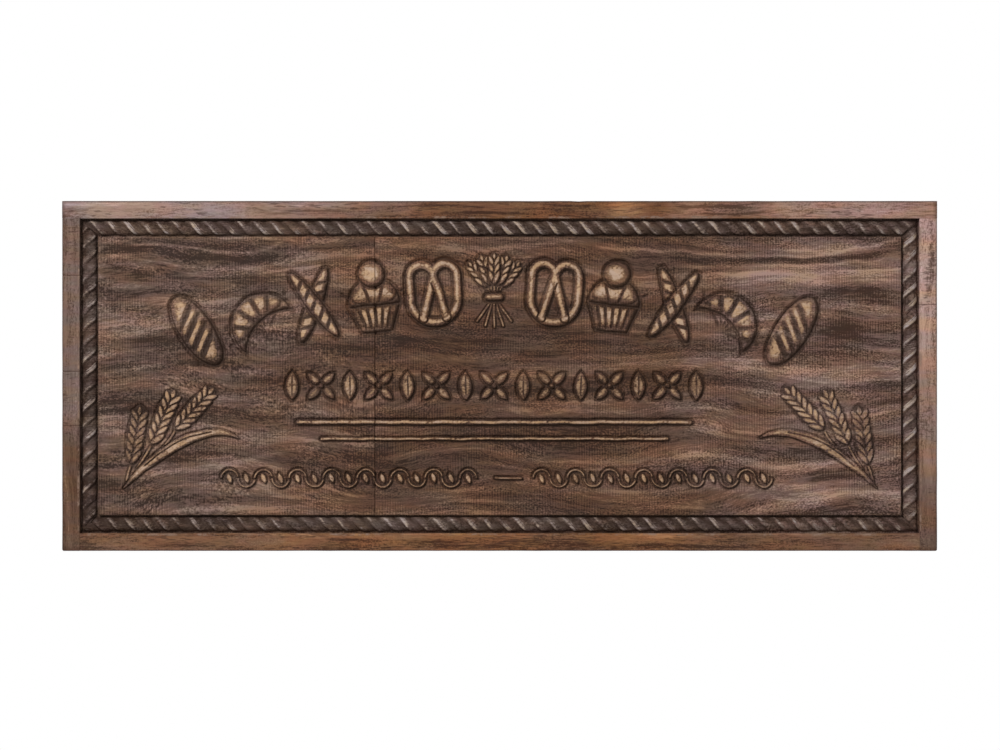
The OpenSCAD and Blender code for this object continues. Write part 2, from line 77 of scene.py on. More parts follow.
def stain(red: int, green: int, blue: int) -> Colour:
    """Turn a colour as a screen shows it, from 0 to 255, into Blender's linear one."""
    shares = (share / 255 for share in (red, green, blue))
    return tuple(s / 12.92 if s <= 0.04045 else ((s + 0.055) / 1.055) ** 2.4 for s in shares)


def ease(value: Values, low: float, high: float) -> Values:
    """Rise smoothly from 0 at low to 1 at high."""
    share = np.clip((value - low) / (high - low), 0, 1)
    return share * share * (3 - 2 * share)


class Along(Enum):
    """Which way the grain of a board runs."""

    LENGTH = "x"
    HEIGHT = "z"


class Graph:
    """A node tree that is laid out line by line."""

    def __init__(self, tree: bpy.types.NodeTree) -> None:
        """Keep the tree that the nodes go into."""
        self.tree = tree

    def add(self, kind: str, given: Given | None = None, **settings: object) -> bpy.types.Node:
        """Add one shader node.

        Args:
            kind: The node's type, without the words ShaderNode before it.
            given: What its inputs are given, by name or number.
            settings: The node's own properties.

        Returns:
            The new node.
        """
        node = self.tree.nodes.new("ShaderNode" + kind)
        for key, value in settings.items():
            setattr(node, key, value)
        self.fill(node, given or {})
        return node

    def fill(self, node: bpy.types.Node, given: Given) -> None:
        """Give a node's inputs their values, by name or number."""
        for key, value in given.items():
            self.feed(node.inputs[key], value)

    def feed(self, socket: Socket, value: object) -> None:
        """Give a socket its value, or link another socket to it.

        Args:
            socket: The input socket.
            value: A number, a vector, a colour or an output socket.
        """
        if isinstance(value, bpy.types.NodeSocket):
            self.tree.links.new(value, socket)
        elif isinstance(value, tuple) and socket.type == "RGBA":
            socket.default_value = (*value, 1.0)
        else:
            socket.default_value = value

    def math(self, operation: str, first: object, second: object = 0.0) -> Socket:
        """Work out one sum, with a Math node's operation."""
        return self.add("Math", {0: first, 1: second}, operation=operation).outputs[0]

    def spread(self, value: object, low: float, high: float, start: float = 0.0, end: float = 1.0) -> Socket:
        """Spread the range from low to high smoothly over that from start to end, and hold it there."""
        given = dict(enumerate((value, low, high, start, end)))
        return self.add("MapRange", given, interpolation_type="SMOOTHSTEP").outputs[0]

    def mix(self, share: object, first: object, second: object, way: str = "MIX") -> Socket:
        """Mix two colours.

        Args:
            share: How much of the second colour there is.
            first: The first colour.
            second: The second colour.
            way: The Mix node's blend type.

        Returns:
            The mixed colour.
        """
        node = self.add("Mix", {0: share}, data_type="RGBA", blend_type=way)
        colours = [socket for socket in node.inputs if socket.type == "RGBA"]
        self.feed(colours[0], first)
        self.feed(colours[1], second)
        return next(socket for socket in node.outputs if socket.type == "RGBA")

    def cells(self, place: object, sizes: Sequence[float], shift: float = 0.0) -> Socket:
        """Measure a place in cells of the given sizes in metres, with the shift added to all three."""
        scale = [1 / size for size in sizes]
        return self.add("Mapping", {"Vector": place, "Location": [shift] * 3, "Scale": scale}).outputs[0]

    def noise(self, cells: object, detail: float = 2.0, rough: float = 0.5, bend: float = 0.0) -> Socket:
        """Add a noise whose cells are one unit wide, mostly from 0.25 to 0.75."""
        given = {"Vector": cells, "Scale": 1.0, "Detail": detail, "Roughness": rough, "Distortion": bend}
        return self.add("TexNoise", given).outputs[0]

    def attribute(self, name: str) -> Socket:
        """Read a value that the mesh keeps at its vertices."""
        return self.add("Attribute", attribute_name=name).outputs["Fac"]

    def place(self, group: bpy.types.NodeTree, **values: object) -> dict[str, Socket]:
        """Place a shared effect in this tree, and give its outputs by name."""
        node = self.add("Group", values, node_tree=group)
        return {socket.name: socket for socket in node.outputs}


def new_material(name: str) -> tuple[bpy.types.Material, Graph, bpy.types.Node]:
    """Make a material with a plain shader.

    Args:
        name: The material's name.

    Returns:
        The material, its nodes and its shader.
    """
    made = bpy.data.materials.new(name)
    made.use_nodes = True
    return made, Graph(made.node_tree), made.node_tree.nodes["Principled BSDF"]


class Effect:
    """An effect that several materials share: a node group with named inputs and outputs."""

    def __init__(self, name: str, numbers: dict[str, float], outputs: Iterable[str]) -> None:
        """Make the group, whose first input is always the place on the piece.

        Args:
            name: The group's name.
            numbers: The inputs that are numbers, with the values that they start at.
            outputs: The names of the values that come out.
        """
        self.group = bpy.data.node_groups.new(name, "ShaderNodeTree")
        sockets = self.group.interface
        sockets.new_socket(name="place", in_out="INPUT", socket_type="NodeSocketVector")
        for key, value in numbers.items():
            sockets.new_socket(name=key, in_out="INPUT", socket_type="NodeSocketFloat").default_value = value
        for key in outputs:
            sockets.new_socket(name=key, in_out="OUTPUT", socket_type="NodeSocketFloat")
        self.graph = Graph(self.group)
        self.given = self.group.nodes.new("NodeGroupInput").outputs
        self.result = self.group.nodes.new("NodeGroupOutput").inputs

    def put(self, name: str, value: Socket) -> None:
        """Send a value out of the group."""
        self.group.links.new(value, self.result[name])


class Effects:
    """The shared effects, each built once: what wood, saw, brush and age do to a surface."""

    def __init__(self) -> None:
        """Build every group."""
        self.drift = self.build_drift()
        self.figure = self.build_figure()
        self.fibre = self.build_fibre()
        self.saw = self.build_saw()
        self.pores = self.build_pores()
        self.brush = self.build_brush()

    @staticmethod
    def build_drift() -> bpy.types.NodeTree:
        """Build the slow sway of the grain.

        Returns:
            A group with the sway, in metres across the grain.
        """
        effect = Effect("grain_drift", {"sway": 0.03, "shift": 0.0}, ["sway"])
        graph, given = effect.graph, effect.given
        moved = graph.add("VectorMath", {0: given["place"], 1: given["shift"]}, operation="ADD").outputs[0]
        broad = graph.noise(graph.cells(moved, (0.24, 0.3, 0.12)), 0.0)
        near = graph.noise(graph.cells(moved, (0.085, 0.3, 0.035), 3.3), 0.0)
        both = graph.math("ADD", graph.math("MULTIPLY", broad, 1.3), graph.math("MULTIPLY", near, 0.35))
        effect.put("sway", graph.math("MULTIPLY", graph.math("SUBTRACT", both, 0.825), given["sway"]))
        return effect.group

    @staticmethod
    def build_figure() -> bpy.types.NodeTree:
        """Build the flowing bands of a flat-sawn board.

        Returns:
            A group whose broad clouds and thin lines run along x and follow each other across z.
        """
        effect = Effect("wood_figure", {"band": 0.02, "flow": 0.3, "rings": 5.0}, ["lines", "clouds"])
        graph, given = effect.graph, effect.given
        apart = graph.add("SeparateXYZ", {0: given["place"]}).outputs
        sizes = {"X": given["flow"], "Y": given["band"], "Z": given["band"]}
        cells = {axis: graph.math("DIVIDE", apart[axis], size) for axis, size in sizes.items()}
        clouds = graph.noise(graph.add("CombineXYZ", cells).outputs[0], 2.0, 0.5)
        effect.put("clouds", graph.spread(clouds, 0.3, 0.7))
        bands = graph.math("PINGPONG", graph.math("MULTIPLY", clouds, given["rings"]), 1.0)
        broken = graph.noise(graph.cells(given["place"], (0.045, 0.02, 0.008), 8.6), 2.0, 0.6)
        thin = graph.spread(bands, 0.7, 1.0)
        effect.put("lines", graph.math("MULTIPLY", thin, graph.spread(broken, 0.4, 0.62)))
        return effect.group

    @staticmethod
    def build_fibre() -> bpy.types.NodeTree:
        """Build the fine streaks that lie along the grain, and the speckle between them.

        Returns:
            A group with the streaks and the speckle, both from 0 to 1.
        """
        effect = Effect("wood_fibre", {"shift": 0.0}, ["streaks", "speckle"])
        graph, given = effect.graph, effect.given
        moved = graph.add("VectorMath", {0: given["place"], 1: given["shift"]}, operation="ADD").outputs[0]
        fine = graph.noise(graph.cells(moved, (0.012, 0.003, 0.0011)), 3.0, 0.6)
        broad = graph.noise(graph.cells(moved, (0.08, 0.02, 0.0045), 3.7), 2.0, 0.55)
        both = graph.math("ADD", graph.math("MULTIPLY", fine, 0.6), graph.math("MULTIPLY", broad, 0.4))
        effect.put("streaks", graph.spread(both, 0.35, 0.65))
        dots = graph.noise(graph.cells(moved, (0.0026, 0.003, 0.0016), 9.1), 2.0, 0.6)
        patch = graph.noise(graph.cells(moved, (0.05, 0.03, 0.016), 6.6), 1.0)
        depth = graph.spread(patch, 0.35, 0.65, 0.2, 1.0)
        dots = graph.math("SUBTRACT", graph.spread(dots, 0.34, 0.66), 0.5)
        effect.put("speckle", graph.math("ADD", graph.math("MULTIPLY", dots, depth), 0.5))
        return effect.group

    @staticmethod
    def build_saw() -> bpy.types.NodeTree:
        """Build the fine marks that a saw left straight across the grain.

        Returns:
            A group with the marks, from -1 to 1, which come and go in patches.
        """
        effect = Effect("saw_marks", {"pitch": 0.003, "cover": 0.75}, ["marks"])
        graph, given = effect.graph, effect.given
        along = graph.add("SeparateXYZ", {0: given["place"]}).outputs["X"]
        jitter = graph.noise(graph.cells(given["place"], (0.009, 0.02, 0.05)), 1.0)
        x = graph.math("ADD", along, graph.math("MULTIPLY", jitter, 0.003))
        turns = graph.math("MULTIPLY", graph.math("DIVIDE", x, given["pitch"]), math.tau)
        wave = graph.math("SINE", turns)
        broken = graph.noise(graph.cells(given["place"], (0.0016, 0.01, 0.0019), 5.3), 2.0, 0.7)
        patch = graph.noise(graph.cells(given["place"], (0.075, 0.05, 0.04), 1.9), 2.0, 0.6)
        edge = graph.math("SUBTRACT", 0.74, graph.math("MULTIPLY", given["cover"], 0.4))
        share = graph.spread(graph.math("SUBTRACT", patch, edge), -0.05, 0.07)
        marks = graph.math("MULTIPLY", wave, graph.spread(broken, 0.3, 0.62, 0.25, 1.0))
        effect.put("marks", graph.math("MULTIPLY", marks, share))
        return effect.group

    @staticmethod
    def build_pores() -> bpy.types.NodeTree:
        """Build the short dark dashes of open pores.

        Returns:
            A group with the pores as a mask from 0 to 1.
        """
        numbers = {"cover": 0.5, "length": 0.011, "width": 0.0011, "crowd": 0.35}
        effect = Effect("open_pores", numbers, ["pores"])
        graph, given = effect.graph, effect.given
        size = graph.add("CombineXYZ", {"X": given["length"], "Y": given["width"], "Z": given["width"]})
        cells = graph.add("VectorMath", {0: given["place"], 1: size.outputs[0]}, operation="DIVIDE")
        dashes = graph.noise(cells.outputs[0], 1.0, 0.5, 0.2)
        crowd = graph.noise(graph.cells(given["place"], (0.07, 0.05, 0.012), 7.7), 1.0)
        crowded = graph.math("MULTIPLY", graph.math("SUBTRACT", crowd, 0.5), given["crowd"])
        total = graph.math("ADD", dashes, crowded)
        edge = graph.math("SUBTRACT", 0.825, graph.math("MULTIPLY", given["cover"], 0.22))
        effect.put("pores", graph.spread(graph.math("SUBTRACT", total, edge), -0.07, 0.03))
        return effect.group

    @staticmethod
    def build_brush() -> bpy.types.NodeTree:
        """Build the uneven cover of a colour that was rubbed on with a dry brush.

        Returns:
            A group with the cover, from 0 to 1.
        """
        effect = Effect("dry_brush", {"amount": 0.5, "wear": 0.5}, ["cover"])
        graph, given = effect.graph, effect.given
        grit = graph.noise(graph.cells(given["place"], (0.0042, 0.0028, 0.0016), 2.2), 3.0, 0.6)
        broad = graph.noise(graph.cells(given["place"], (0.022, 0.02, 0.014), 4.1), 2.0)
        gaps = graph.math("ADD", graph.math("MULTIPLY", grit, 0.6), graph.math("MULTIPLY", broad, 0.4))
        lost = graph.math("MULTIPLY", graph.spread(gaps, 0.36, 0.62, 1.0, 0.0), given["wear"])
        kept = graph.math("SUBTRACT", given["amount"], graph.math("MULTIPLY", lost, 0.8))
        effect.put("cover", graph.spread(kept, 0.0, 0.9))
        return effect.group


@dataclass(frozen=True)
class Palette:
    """The dark, middle and light tone of one stretch of stained wood."""

    dark: Colour
    body: Colour
    light: Colour


@dataclass(frozen=True)
class StainedWood:
    """Stained and rubbed walnut, whose tone changes along the grain, from the left or the foot on."""

    name: str
    left: Palette
    middle: Palette
    right: Palette
    rubbed: Colour
    glaze: Colour
    # The dark colour of pores and grime, which also paints shade wherever the darkening at the vertices asks
    # for it.
    grime_and_shade: Colour
    grain: Along = Along.LENGTH
    zones_at: tuple[float, float, float, float] = (-0.30, -0.08, 0.16, 0.36)
    zone_drift: float = 0.35
    shift: float = 0.0
    band: float = 0.021
    flow: float = 0.30
    sway: float = 0.05
    rings: float = 5.0
    bright: float = 0.45
    figure: float = 0.38
    line: float = 0.25
    streak: float = 0.36
    speckle: float = 0.5
    saw: float = 0.14
    hue: float = 0.9
    drawn: bool = False
    pore_cover: float = 0.4
    pore_length: float = 0.011
    pore_width: float = 0.0011
    pore_depth: float = 0.45
    pore_crowd: float = 0.35
    rub_wear: float = 0.62
    roughness: float = 0.62
    specular: float = 0.14

    def material(self, effects: Effects) -> bpy.types.Material:
        """Lay out the material's nodes.

        Args:
            effects: The shared effects.

        Returns:
            The material.
        """
        made, graph, shader = new_material(self.name)
        straight = graph.add("TexCoord").outputs["Object"]
        turned = self.turned(graph, straight)
        place = self.swayed(graph, turned, effects)
        figure = graph.place(effects.figure, place=place, band=self.band, flow=self.flow, rings=self.rings)
        fibre = graph.place(effects.fibre, place=place, shift=self.shift)
        saw = graph.place(effects.saw, place=turned)
        pore_size = {"length": self.pore_length, "width": self.pore_width, "crowd": self.pore_crowd}
        pores = graph.place(effects.pores, place=place, cover=self.pore_cover, **pore_size)
        tone = self.tone(graph, figure, fibre, saw)
        colour = self.zones(graph, straight, tone)
        pore_share = graph.math("MULTIPLY", pores["pores"], self.pore_depth)
        colour = graph.mix(pore_share, colour, self.grime_and_shade)
        # The rubbed colour kept at the vertices is dry-brushed wear, and on the carving it is partly a
        # painted highlight drawn towards the lit side.
        rub_and_highlight = graph.place(effects.brush, place=place, amount=graph.attribute(RUB_AND_HIGHLIGHT), wear=self.rub_wear)
        colour = graph.mix(graph.spread(rub_and_highlight["cover"], 0.0, 0.5, 0.0, 0.85), colour, self.glaze)
        shade = graph.mix(graph.spread(tone, 0.15, 0.75), (0.76, 0.7, 0.62), (1.0, 1.0, 1.0))
        warm = graph.noise(graph.cells(place, (0.018, 0.02, 0.009), 5.8), 2.0)
        tint = graph.mix(graph.spread(warm, 0.36, 0.64), (0.97, 0.99, 1.07), (1.05, 0.99, 0.86))
        rubbed = graph.mix(1.0, graph.mix(1.0, shade, tint, "MULTIPLY"), self.rubbed, "MULTIPLY")
        colour = graph.mix(graph.spread(rub_and_highlight["cover"], 0.25, 1.0, 0.0, 0.97), colour, rubbed)
        # The darkening kept at the vertices mixes in the dark colour: grime and stain where they settle, and
        # painted shade in recesses and on shaded sides.
        patchy = graph.spread(fibre["speckle"], 0.0, 1.0, 0.95, 0.72)
        dirt_and_shade = graph.math("MULTIPLY", graph.attribute(DIRT_AND_SHADE), patchy)
        colour = graph.mix(dirt_and_shade, colour, self.grime_and_shade)
        gloss = graph.math("SUBTRACT", self.roughness + 0.1, graph.math("MULTIPLY", fibre["streaks"], 0.16))
        looks = {"Base Color": colour, "Roughness": gloss, "Specular IOR Level": self.specular}
        graph.fill(shader, {**looks, "Normal": self.bumps(graph, fibre, saw, pores)})
        return made

    def turned(self, graph: Graph, place: Socket) -> Socket:
        """Turn the place so that the grain runs along x.

        Args:
            graph: The material's nodes.
            place: The place on the piece.

        Returns:
            The turned place.
        """
        if self.grain is Along.LENGTH:
            return place
        apart = graph.add("SeparateXYZ", {0: place}).outputs
        return graph.add("CombineXYZ", {"X": apart["Z"], "Y": apart["Y"], "Z": apart["X"]}).outputs[0]

    def swayed(self, graph: Graph, place: Socket, effects: Effects) -> Socket:
        """Let the grain sway.

        Args:
            graph: The material's nodes.
            place: The place, with the grain along x.
            effects: The shared effects.

        Returns:
            The place along the swaying grain.
        """
        drift = graph.place(effects.drift, place=place, sway=self.sway, shift=self.shift)
        across = graph.add("CombineXYZ", {"Z": drift["sway"]})
        return graph.add("VectorMath", {0: place, 1: across.outputs[0]}, operation="ADD").outputs[0]

    def tone(self, graph: Graph, figure: dict, fibre: dict, saw: dict) -> Socket:
        """Add up what makes the wood lighter or darker.

        Args:
            graph: The material's nodes.
            figure: The flowing bands.
            fibre: The fine streaks.
            saw: The saw's marks.

        Returns:
            The tone, from 0 for dark to 1 for light.
        """
        authored = graph.math("SUBTRACT", graph.attribute(TONE), 0.5) if self.drawn else 0.0
        total: object = graph.math("ADD", authored, self.bright)
        parts = (
            (figure["lines"], 0.12, self.line),
            (figure["clouds"], 0.5, self.figure),
            (fibre["streaks"], 0.5, self.streak),
            (fibre["speckle"], 0.5, self.speckle),
            (saw["marks"], 0.0, self.saw),
        )
        for value, middle, weight in parts:
            share = graph.math("MULTIPLY", graph.math("SUBTRACT", value, middle), weight)
            total = graph.math("ADD", share, total)
        return total

    def zones(self, graph: Graph, place: Socket, tone: Socket) -> Socket:
        """Colour the tone with the palette of its stretch of the sign.

        Args:
            graph: The material's nodes.
            place: The place on the piece.
            tone: The wood's tone.

        Returns:
            The colour.
        """
        ramps = []
        for palette in (self.left, self.middle, self.right):
            low = graph.mix(graph.spread(tone, 0.12, 0.5), palette.dark, palette.body)
            ramps.append(graph.mix(graph.spread(tone, 0.5, 0.88), low, palette.light))
        apart = graph.add("SeparateXYZ", {0: place}).outputs
        drift = graph.noise(graph.cells(place, (0.09, 0.1, 0.05), 6.3), 2.0)
        drifted = graph.math("MULTIPLY", graph.math("SUBTRACT", drift, 0.5), self.zone_drift)
        run = graph.math("ADD", apart["X" if self.grain is Along.LENGTH else "Z"], drifted)
        start, filled, fading, end = self.zones_at
        colour = graph.mix(graph.spread(run, start, filled), ramps[0], ramps[1])
        colour = graph.mix(graph.spread(run, fading, end), colour, ramps[2])
        patches = graph.noise(graph.cells(place, (0.07, 0.1, 0.02), 2.9), 3.0, 0.6)
        tint = graph.mix(graph.spread(patches, 0.36, 0.64), (0.95, 0.97, 1.02), (1.1, 0.98, 0.82))
        blush = graph.noise(graph.cells(place, (0.04, 0.1, 0.014), 7.1), 2.0, 0.6)
        rosy = graph.mix(graph.spread(blush, 0.36, 0.64), (0.97, 1.01, 0.97), (1.04, 0.97, 1.01))
        return graph.mix(self.hue, colour, graph.mix(1.0, tint, rosy, "MULTIPLY"), "MULTIPLY")

    def bumps(self, graph: Graph, fibre: dict, saw: dict, pores: dict) -> Socket:
        """Raise the fibres and the saw's marks, and sink the pores.

        Args:
            graph: The material's nodes.
            fibre: The fine streaks.
            saw: The saw's marks.
            pores: The open pores.

        Returns:
            The surface's normal.
        """
        height = graph.math("MULTIPLY", fibre["streaks"], 0.5)
        height = graph.math("ADD", height, graph.math("MULTIPLY", fibre["speckle"], 0.35))
        height = graph.math("ADD", height, graph.math("MULTIPLY", saw["marks"], self.saw))
        height = graph.math("SUBTRACT", height, graph.math("MULTIPLY", pores["pores"], 0.7))
        return graph.add("Bump", {"Strength": 0.55, "Distance": 0.4 * MM, "Height": height}).outputs[0]


@dataclass(frozen=True)
class EdgingWood(StainedWood):
    """The smoother wood of the edging, with soft bands and dark dashes."""

    bright: float = 0.5
    sway: float = 0.012
    figure: float = 0.3
    streak: float = 0.3
    speckle: float = 0.22
    saw: float = 0.02
    hue: float = 1.0
    drawn: bool = True
    pore_cover: float = 0.42
    pore_length: float = 0.011
    pore_width: float = 0.0014
    pore_depth: float = 0.6
    pore_crowd: float = 0.8


class Bench:
    """The workbench, where Blender's own operators shape the piece in hand."""

    @staticmethod
    def clear() -> None:
        """Leave edit mode and put everything down."""
        if bpy.context.object and bpy.context.object.mode != "OBJECT":
            bpy.ops.object.mode_set(mode="OBJECT")
        bpy.ops.object.select_all(action="DESELECT")

    @staticmethod
    def hold(piece: bpy.types.Object) -> None:
        """Take one piece in hand.

        Args:
            piece: The piece.
        """
        Bench.clear()
        piece.select_set(True)
        bpy.context.view_layer.objects.active = piece

    @staticmethod
    def pick(piece: bpy.types.Object, kind: str, test: Callable[[Vector], bool]) -> None:
        """Select the faces, edges or vertices of a piece by their place, and stay in edit mode.

        Args:
            piece: The piece.
            kind: FACE, EDGE or VERT.
            test: Says of a point whether it is chosen; all the points of an edge or a face have to be.
        """
        Bench.hold(piece)
        for group in (piece.data.vertices, piece.data.edges, piece.data.polygons):
            group.foreach_set("select", [False] * len(group))
        chosen = [test(vertex.co) for vertex in piece.data.vertices]
        groups = {"VERT": piece.data.vertices, "EDGE": piece.data.edges, "FACE": piece.data.polygons}
        for index, item in enumerate(groups[kind]):
            item.select = chosen[index] if kind == "VERT" else all(chosen[v] for v in item.vertices)
        bpy.ops.object.mode_set(mode="EDIT")
        bpy.ops.mesh.select_mode(type=kind)

    @staticmethod
    def block(name: str, low: Sequence[float], high: Sequence[float]) -> bpy.types.Object:
        """Add a block from its lowest to its highest corner.

        Args:
            name: The piece's name.
            low: The lowest corner, in metres.
            high: The highest corner, in metres.

        Returns:
            The piece, with its place in its mesh.
        """
        Bench.clear()
        low, high = Vector(low), Vector(high)
        bpy.ops.mesh.primitive_cube_add(size=1, location=(low + high) / 2, scale=high - low)
        bpy.ops.object.transform_apply(location=True, rotation=True, scale=True)
        piece = bpy.context.object
        piece.name = piece.data.name = name
        return piece

    @staticmethod
    def grid(name: str, columns: int, rows: int) -> tuple[bpy.types.Object, Values, Values]:
        """Add a flat grid of lines.

        Args:
            name: The piece's name.
            columns: The number of lines across.
            rows: The number of lines up.

        Returns:
            The piece, and each vertex's column and row.
        """
        Bench.clear()
        bpy.ops.mesh.primitive_grid_add(x_subdivisions=columns - 1, y_subdivisions=rows - 1, size=1)
        piece = bpy.context.object
        piece.name = piece.data.name = name
        flat = Bench.places(piece) + 0.5
        across = np.rint(flat[:, 0] * (columns - 1)).astype(int)
        up = np.rint(flat[:, 1] * (rows - 1)).astype(int)
        return piece, across, up

    @staticmethod
    def places(piece: bpy.types.Object) -> Values:
        """Read a piece's vertices.

        Args:
            piece: The piece.

        Returns:
            Their places, one to a row, in metres.
        """
        found = np.empty(len(piece.data.vertices) * 3)
        piece.data.vertices.foreach_get("co", found)
        return found.reshape(-1, 3)

    @staticmethod
    def move(piece: bpy.types.Object, places: Values) -> None:
        """Put a piece's vertices in their new places."""
        piece.data.vertices.foreach_set("co", places.ravel())
        piece.data.update()

    @staticmethod
    def back_up(piece: bpy.types.Object, level: float, chamfer: float = 0.0) -> None:
        """Close an open front: walls run back from its rim to a flat back.

        Args:
            piece: The open piece.
            level: The back's level along y, in metres.
            chamfer: The width of the chamfer round the back, which has to be a rectangle.
        """
        places = Bench.places(piece)
        low, high = places.min(axis=0), places.max(axis=0)
        Bench.hold(piece)
        bpy.ops.object.mode_set(mode="EDIT")
        bpy.ops.mesh.select_mode(type="VERT")
        bpy.ops.mesh.select_all(action="SELECT")
        bpy.ops.mesh.region_to_loop()
        bpy.ops.mesh.extrude_region_move(TRANSFORM_OT_translate={"value": (0, 0, 0)})
        bpy.ops.transform.resize(value=(1, 0, 1), center_override=(0, level - chamfer, 0))
        bpy.ops.mesh.edge_face_add()
        if chamfer:
            bpy.ops.mesh.extrude_region_move(TRANSFORM_OT_translate={"value": (0, chamfer, 0)})
            shrink, middle = 1 - 2 * chamfer / (high - low), (low + high) / 2
            centre = (middle[0], level, middle[2])
            bpy.ops.transform.resize(value=(shrink[0], 1, shrink[2]), center_override=centre)
        bpy.ops.mesh.select_all(action="SELECT")
        bpy.ops.mesh.normals_make_consistent(inside=False)
        bpy.ops.object.mode_set(mode="OBJECT")

    @staticmethod
    def round_off(piece: bpy.types.Object, width: float, steps: int = 3, angle: float = 35.0) -> None:
        """Round a piece's sharp edges with a bevel.

        Args:
            piece: The piece.
            width: The bevel's width, in metres.
            steps: The number of its segments.
            angle: The sharpness from which an edge is rounded, in degrees.
        """
        Bench.hold(piece)
        bevel = piece.modifiers.new("round", "BEVEL")
        bevel.width = width
        bevel.segments = steps
        bevel.limit_method = "ANGLE"
        bevel.angle_limit = math.radians(angle)
        bpy.ops.object.modifier_apply(modifier=bevel.name)

    @staticmethod
    def keep(piece: bpy.types.Object, name: str, values: Values) -> None:
        """Keep a value from 0 to 1 at each vertex."""
        made = piece.data.attributes.new(name, "FLOAT", "POINT")
        made.data.foreach_set("value", np.clip(values, 0, 1).astype(np.float32))

    @staticmethod
    def dress(
        piece: bpy.types.Object,
        finishes: Sequence[bpy.types.Material],
        slot: str,
        nodes: Sequence[str],
        body: str = SIGN_BODY,
        sharp: float = 50.0,
    ) -> None:
        """Shade a finished piece, give it its materials, hang it on its body and hide the CAD nodes that it
        stands for.

        Args:
            piece: The piece.
            finishes: Its materials.
            slot: The record's slot that it would take its finish from; not used.
            nodes: The CAD nodes that it stands for.
            body: The body that it rides on.
            sharp: The angle from which an edge stays sharp, in degrees.
        """
        Bench.hold(piece)
        bpy.ops.object.shade_smooth_by_angle(angle=math.radians(sharp))
        indexes = [polygon.material_index for polygon in piece.data.polygons]
        piece.data.materials.clear()
        for finish in finishes:
            piece.data.materials.append(finish)
        piece.data.polygons.foreach_set("material_index", indexes)
        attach(piece, body)
        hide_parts(*nodes)
        Bench.clear()
        LOG.info("%s: %d faces", piece.name, len(piece.data.polygons))


@dataclass(frozen=True)
class Wobble:
    """A smooth uneven wave, the same on every run, such as a hand leaves in a line or a surface."""

    seed: int
    length: float
    size: float
    waves: int = 7

    def at(self, x: Values, z: Values | float = 0.0) -> Values:
        """Work out the wave.

        Args:
            x: The places along the board, in millimetres.
            z: The places across it, in millimetres.

        Returns:
            The wave, mostly between minus and plus its size.
        """
        chance = np.random.default_rng(self.seed)
        total = np.zeros(np.broadcast(x, z).shape)
        for _ in range(self.waves):
            turn, start = chance.uniform(0, math.tau, 2)
            rate = math.tau / (self.length * chance.uniform(0.6, 1.9))
            total += np.sin(rate * (np.cos(turn) * x + np.sin(turn) * z) + start)
        return total * self.size / math.sqrt(self.waves)


@dataclass(frozen=True)
class Plan:
    """The sign's main lines in millimetres, read from the CAD frame."""

    half_w: float
    half_h: float
    inner_x: float
    inner_z: float
    field_x: float
    field_z: float
    joint_x: float
    face: float
    floor: float
    back: float
    rope_w: float
    rope_h: float
    field_drop: float = 1.5
    rows: int = 5

    @classmethod
    def from_frame(cls) -> "Plan":
        """Read the lines off the CAD nodes' boxes.

        Returns:
            The plan.
        """
        rail_low, rail_high = (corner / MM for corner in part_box("top_rail"))
        stile_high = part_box("left_stile")[1] / MM
        rope_low, rope_high = (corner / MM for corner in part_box("rope_top"))
        stave_low, stave_high = (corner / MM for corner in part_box("stave_right_2"))
        channel_w = 2 * rail_low.z - rope_low.z - rope_high.z
        return cls(
            half_w=rail_high.x,
            half_h=rail_high.z,
            inner_x=-stile_high.x,
            inner_z=rail_low.z,
            field_x=-stile_high.x - channel_w,
            field_z=rail_low.z - channel_w,
            joint_x=stave_low.x,
            face=rail_low.y,
            floor=rope_high.y,
            back=stave_high.y,
            rope_w=rope_high.z - rope_low.z,
            rope_h=rope_high.y - rope_low.y,
        )

    @property
    def field(self) -> float:
        """Give the level of the carved field."""
        return self.face + self.field_drop

    @property
    def stave_h(self) -> float:
        """Give the height of one stave."""
        return 2 * self.inner_z / self.rows


@dataclass(frozen=True)
class Spot:
    """A place and turn on the panel's face, for a form that is drawn upright about its own middle."""

    x: float = 0.0
    z: float = 0.0
    turn: float = 0.0
    flipped: bool = False

    def then(self, x: float, z: float, turn: float = 0.0) -> "Spot":
        """Give a spot that is placed in this one's own directions.

        Args:
            x: Its place to the right, in millimetres.
            z: Its place upwards, in millimetres.
            turn: Its turn, anticlockwise, in degrees.

        Returns:
            The new spot.
        """
        side = -1 if self.flipped else 1
        angle = math.radians(self.turn)
        right = math.cos(angle) * side * x - math.sin(angle) * z
        up = math.sin(angle) * side * x + math.cos(angle) * z
        return Spot(self.x + right, self.z + up, self.turn + side * turn, self.flipped)

    def local(self, x: Values, z: Values) -> tuple[Values, Values]:
        """Measure places on the panel in this spot's own directions.

        Args:
            x: The places to the right of the sign's centre.
            z: The places above it.

        Returns:
            The places to the right of the spot and above it.
        """
        angle = math.radians(self.turn)
        right = math.cos(angle) * (x - self.x) + math.sin(angle) * (z - self.z)
        up = -math.sin(angle) * (x - self.x) + math.cos(angle) * (z - self.z)
        return (-right if self.flipped else right), up


def bar(start: Point, end: Point, half: float, end_half: float | None = None) -> Distance:
    """Draw a straight stroke with round ends.

    Args:
        start: Where it starts.
        end: Where it ends.
        half: Half its width at the start.
        end_half: Half its width at the end, if that differs.

    Returns:
        The distance from its edge, below 0 inside it.
    """
    (x0, z0), (x1, z1) = start, end
    length = math.hypot(x1 - x0, z1 - z0)
    last = half if end_half is None else end_half

    def distance(u: Values, v: Values) -> Values:
        """Measure from the stroke's edge.

        Args:
            u: The places to the right.
            v: The places upwards.

        Returns:
            The distances, below 0 inside it.
        """
        share = np.clip(((u - x0) * (x1 - x0) + (v - z0) * (z1 - z0)) / length**2, 0, 1)
        gap = np.hypot(u - x0 - share * (x1 - x0), v - z0 - share * (z1 - z0))
        return gap - half - share * (last - half)

    return distance


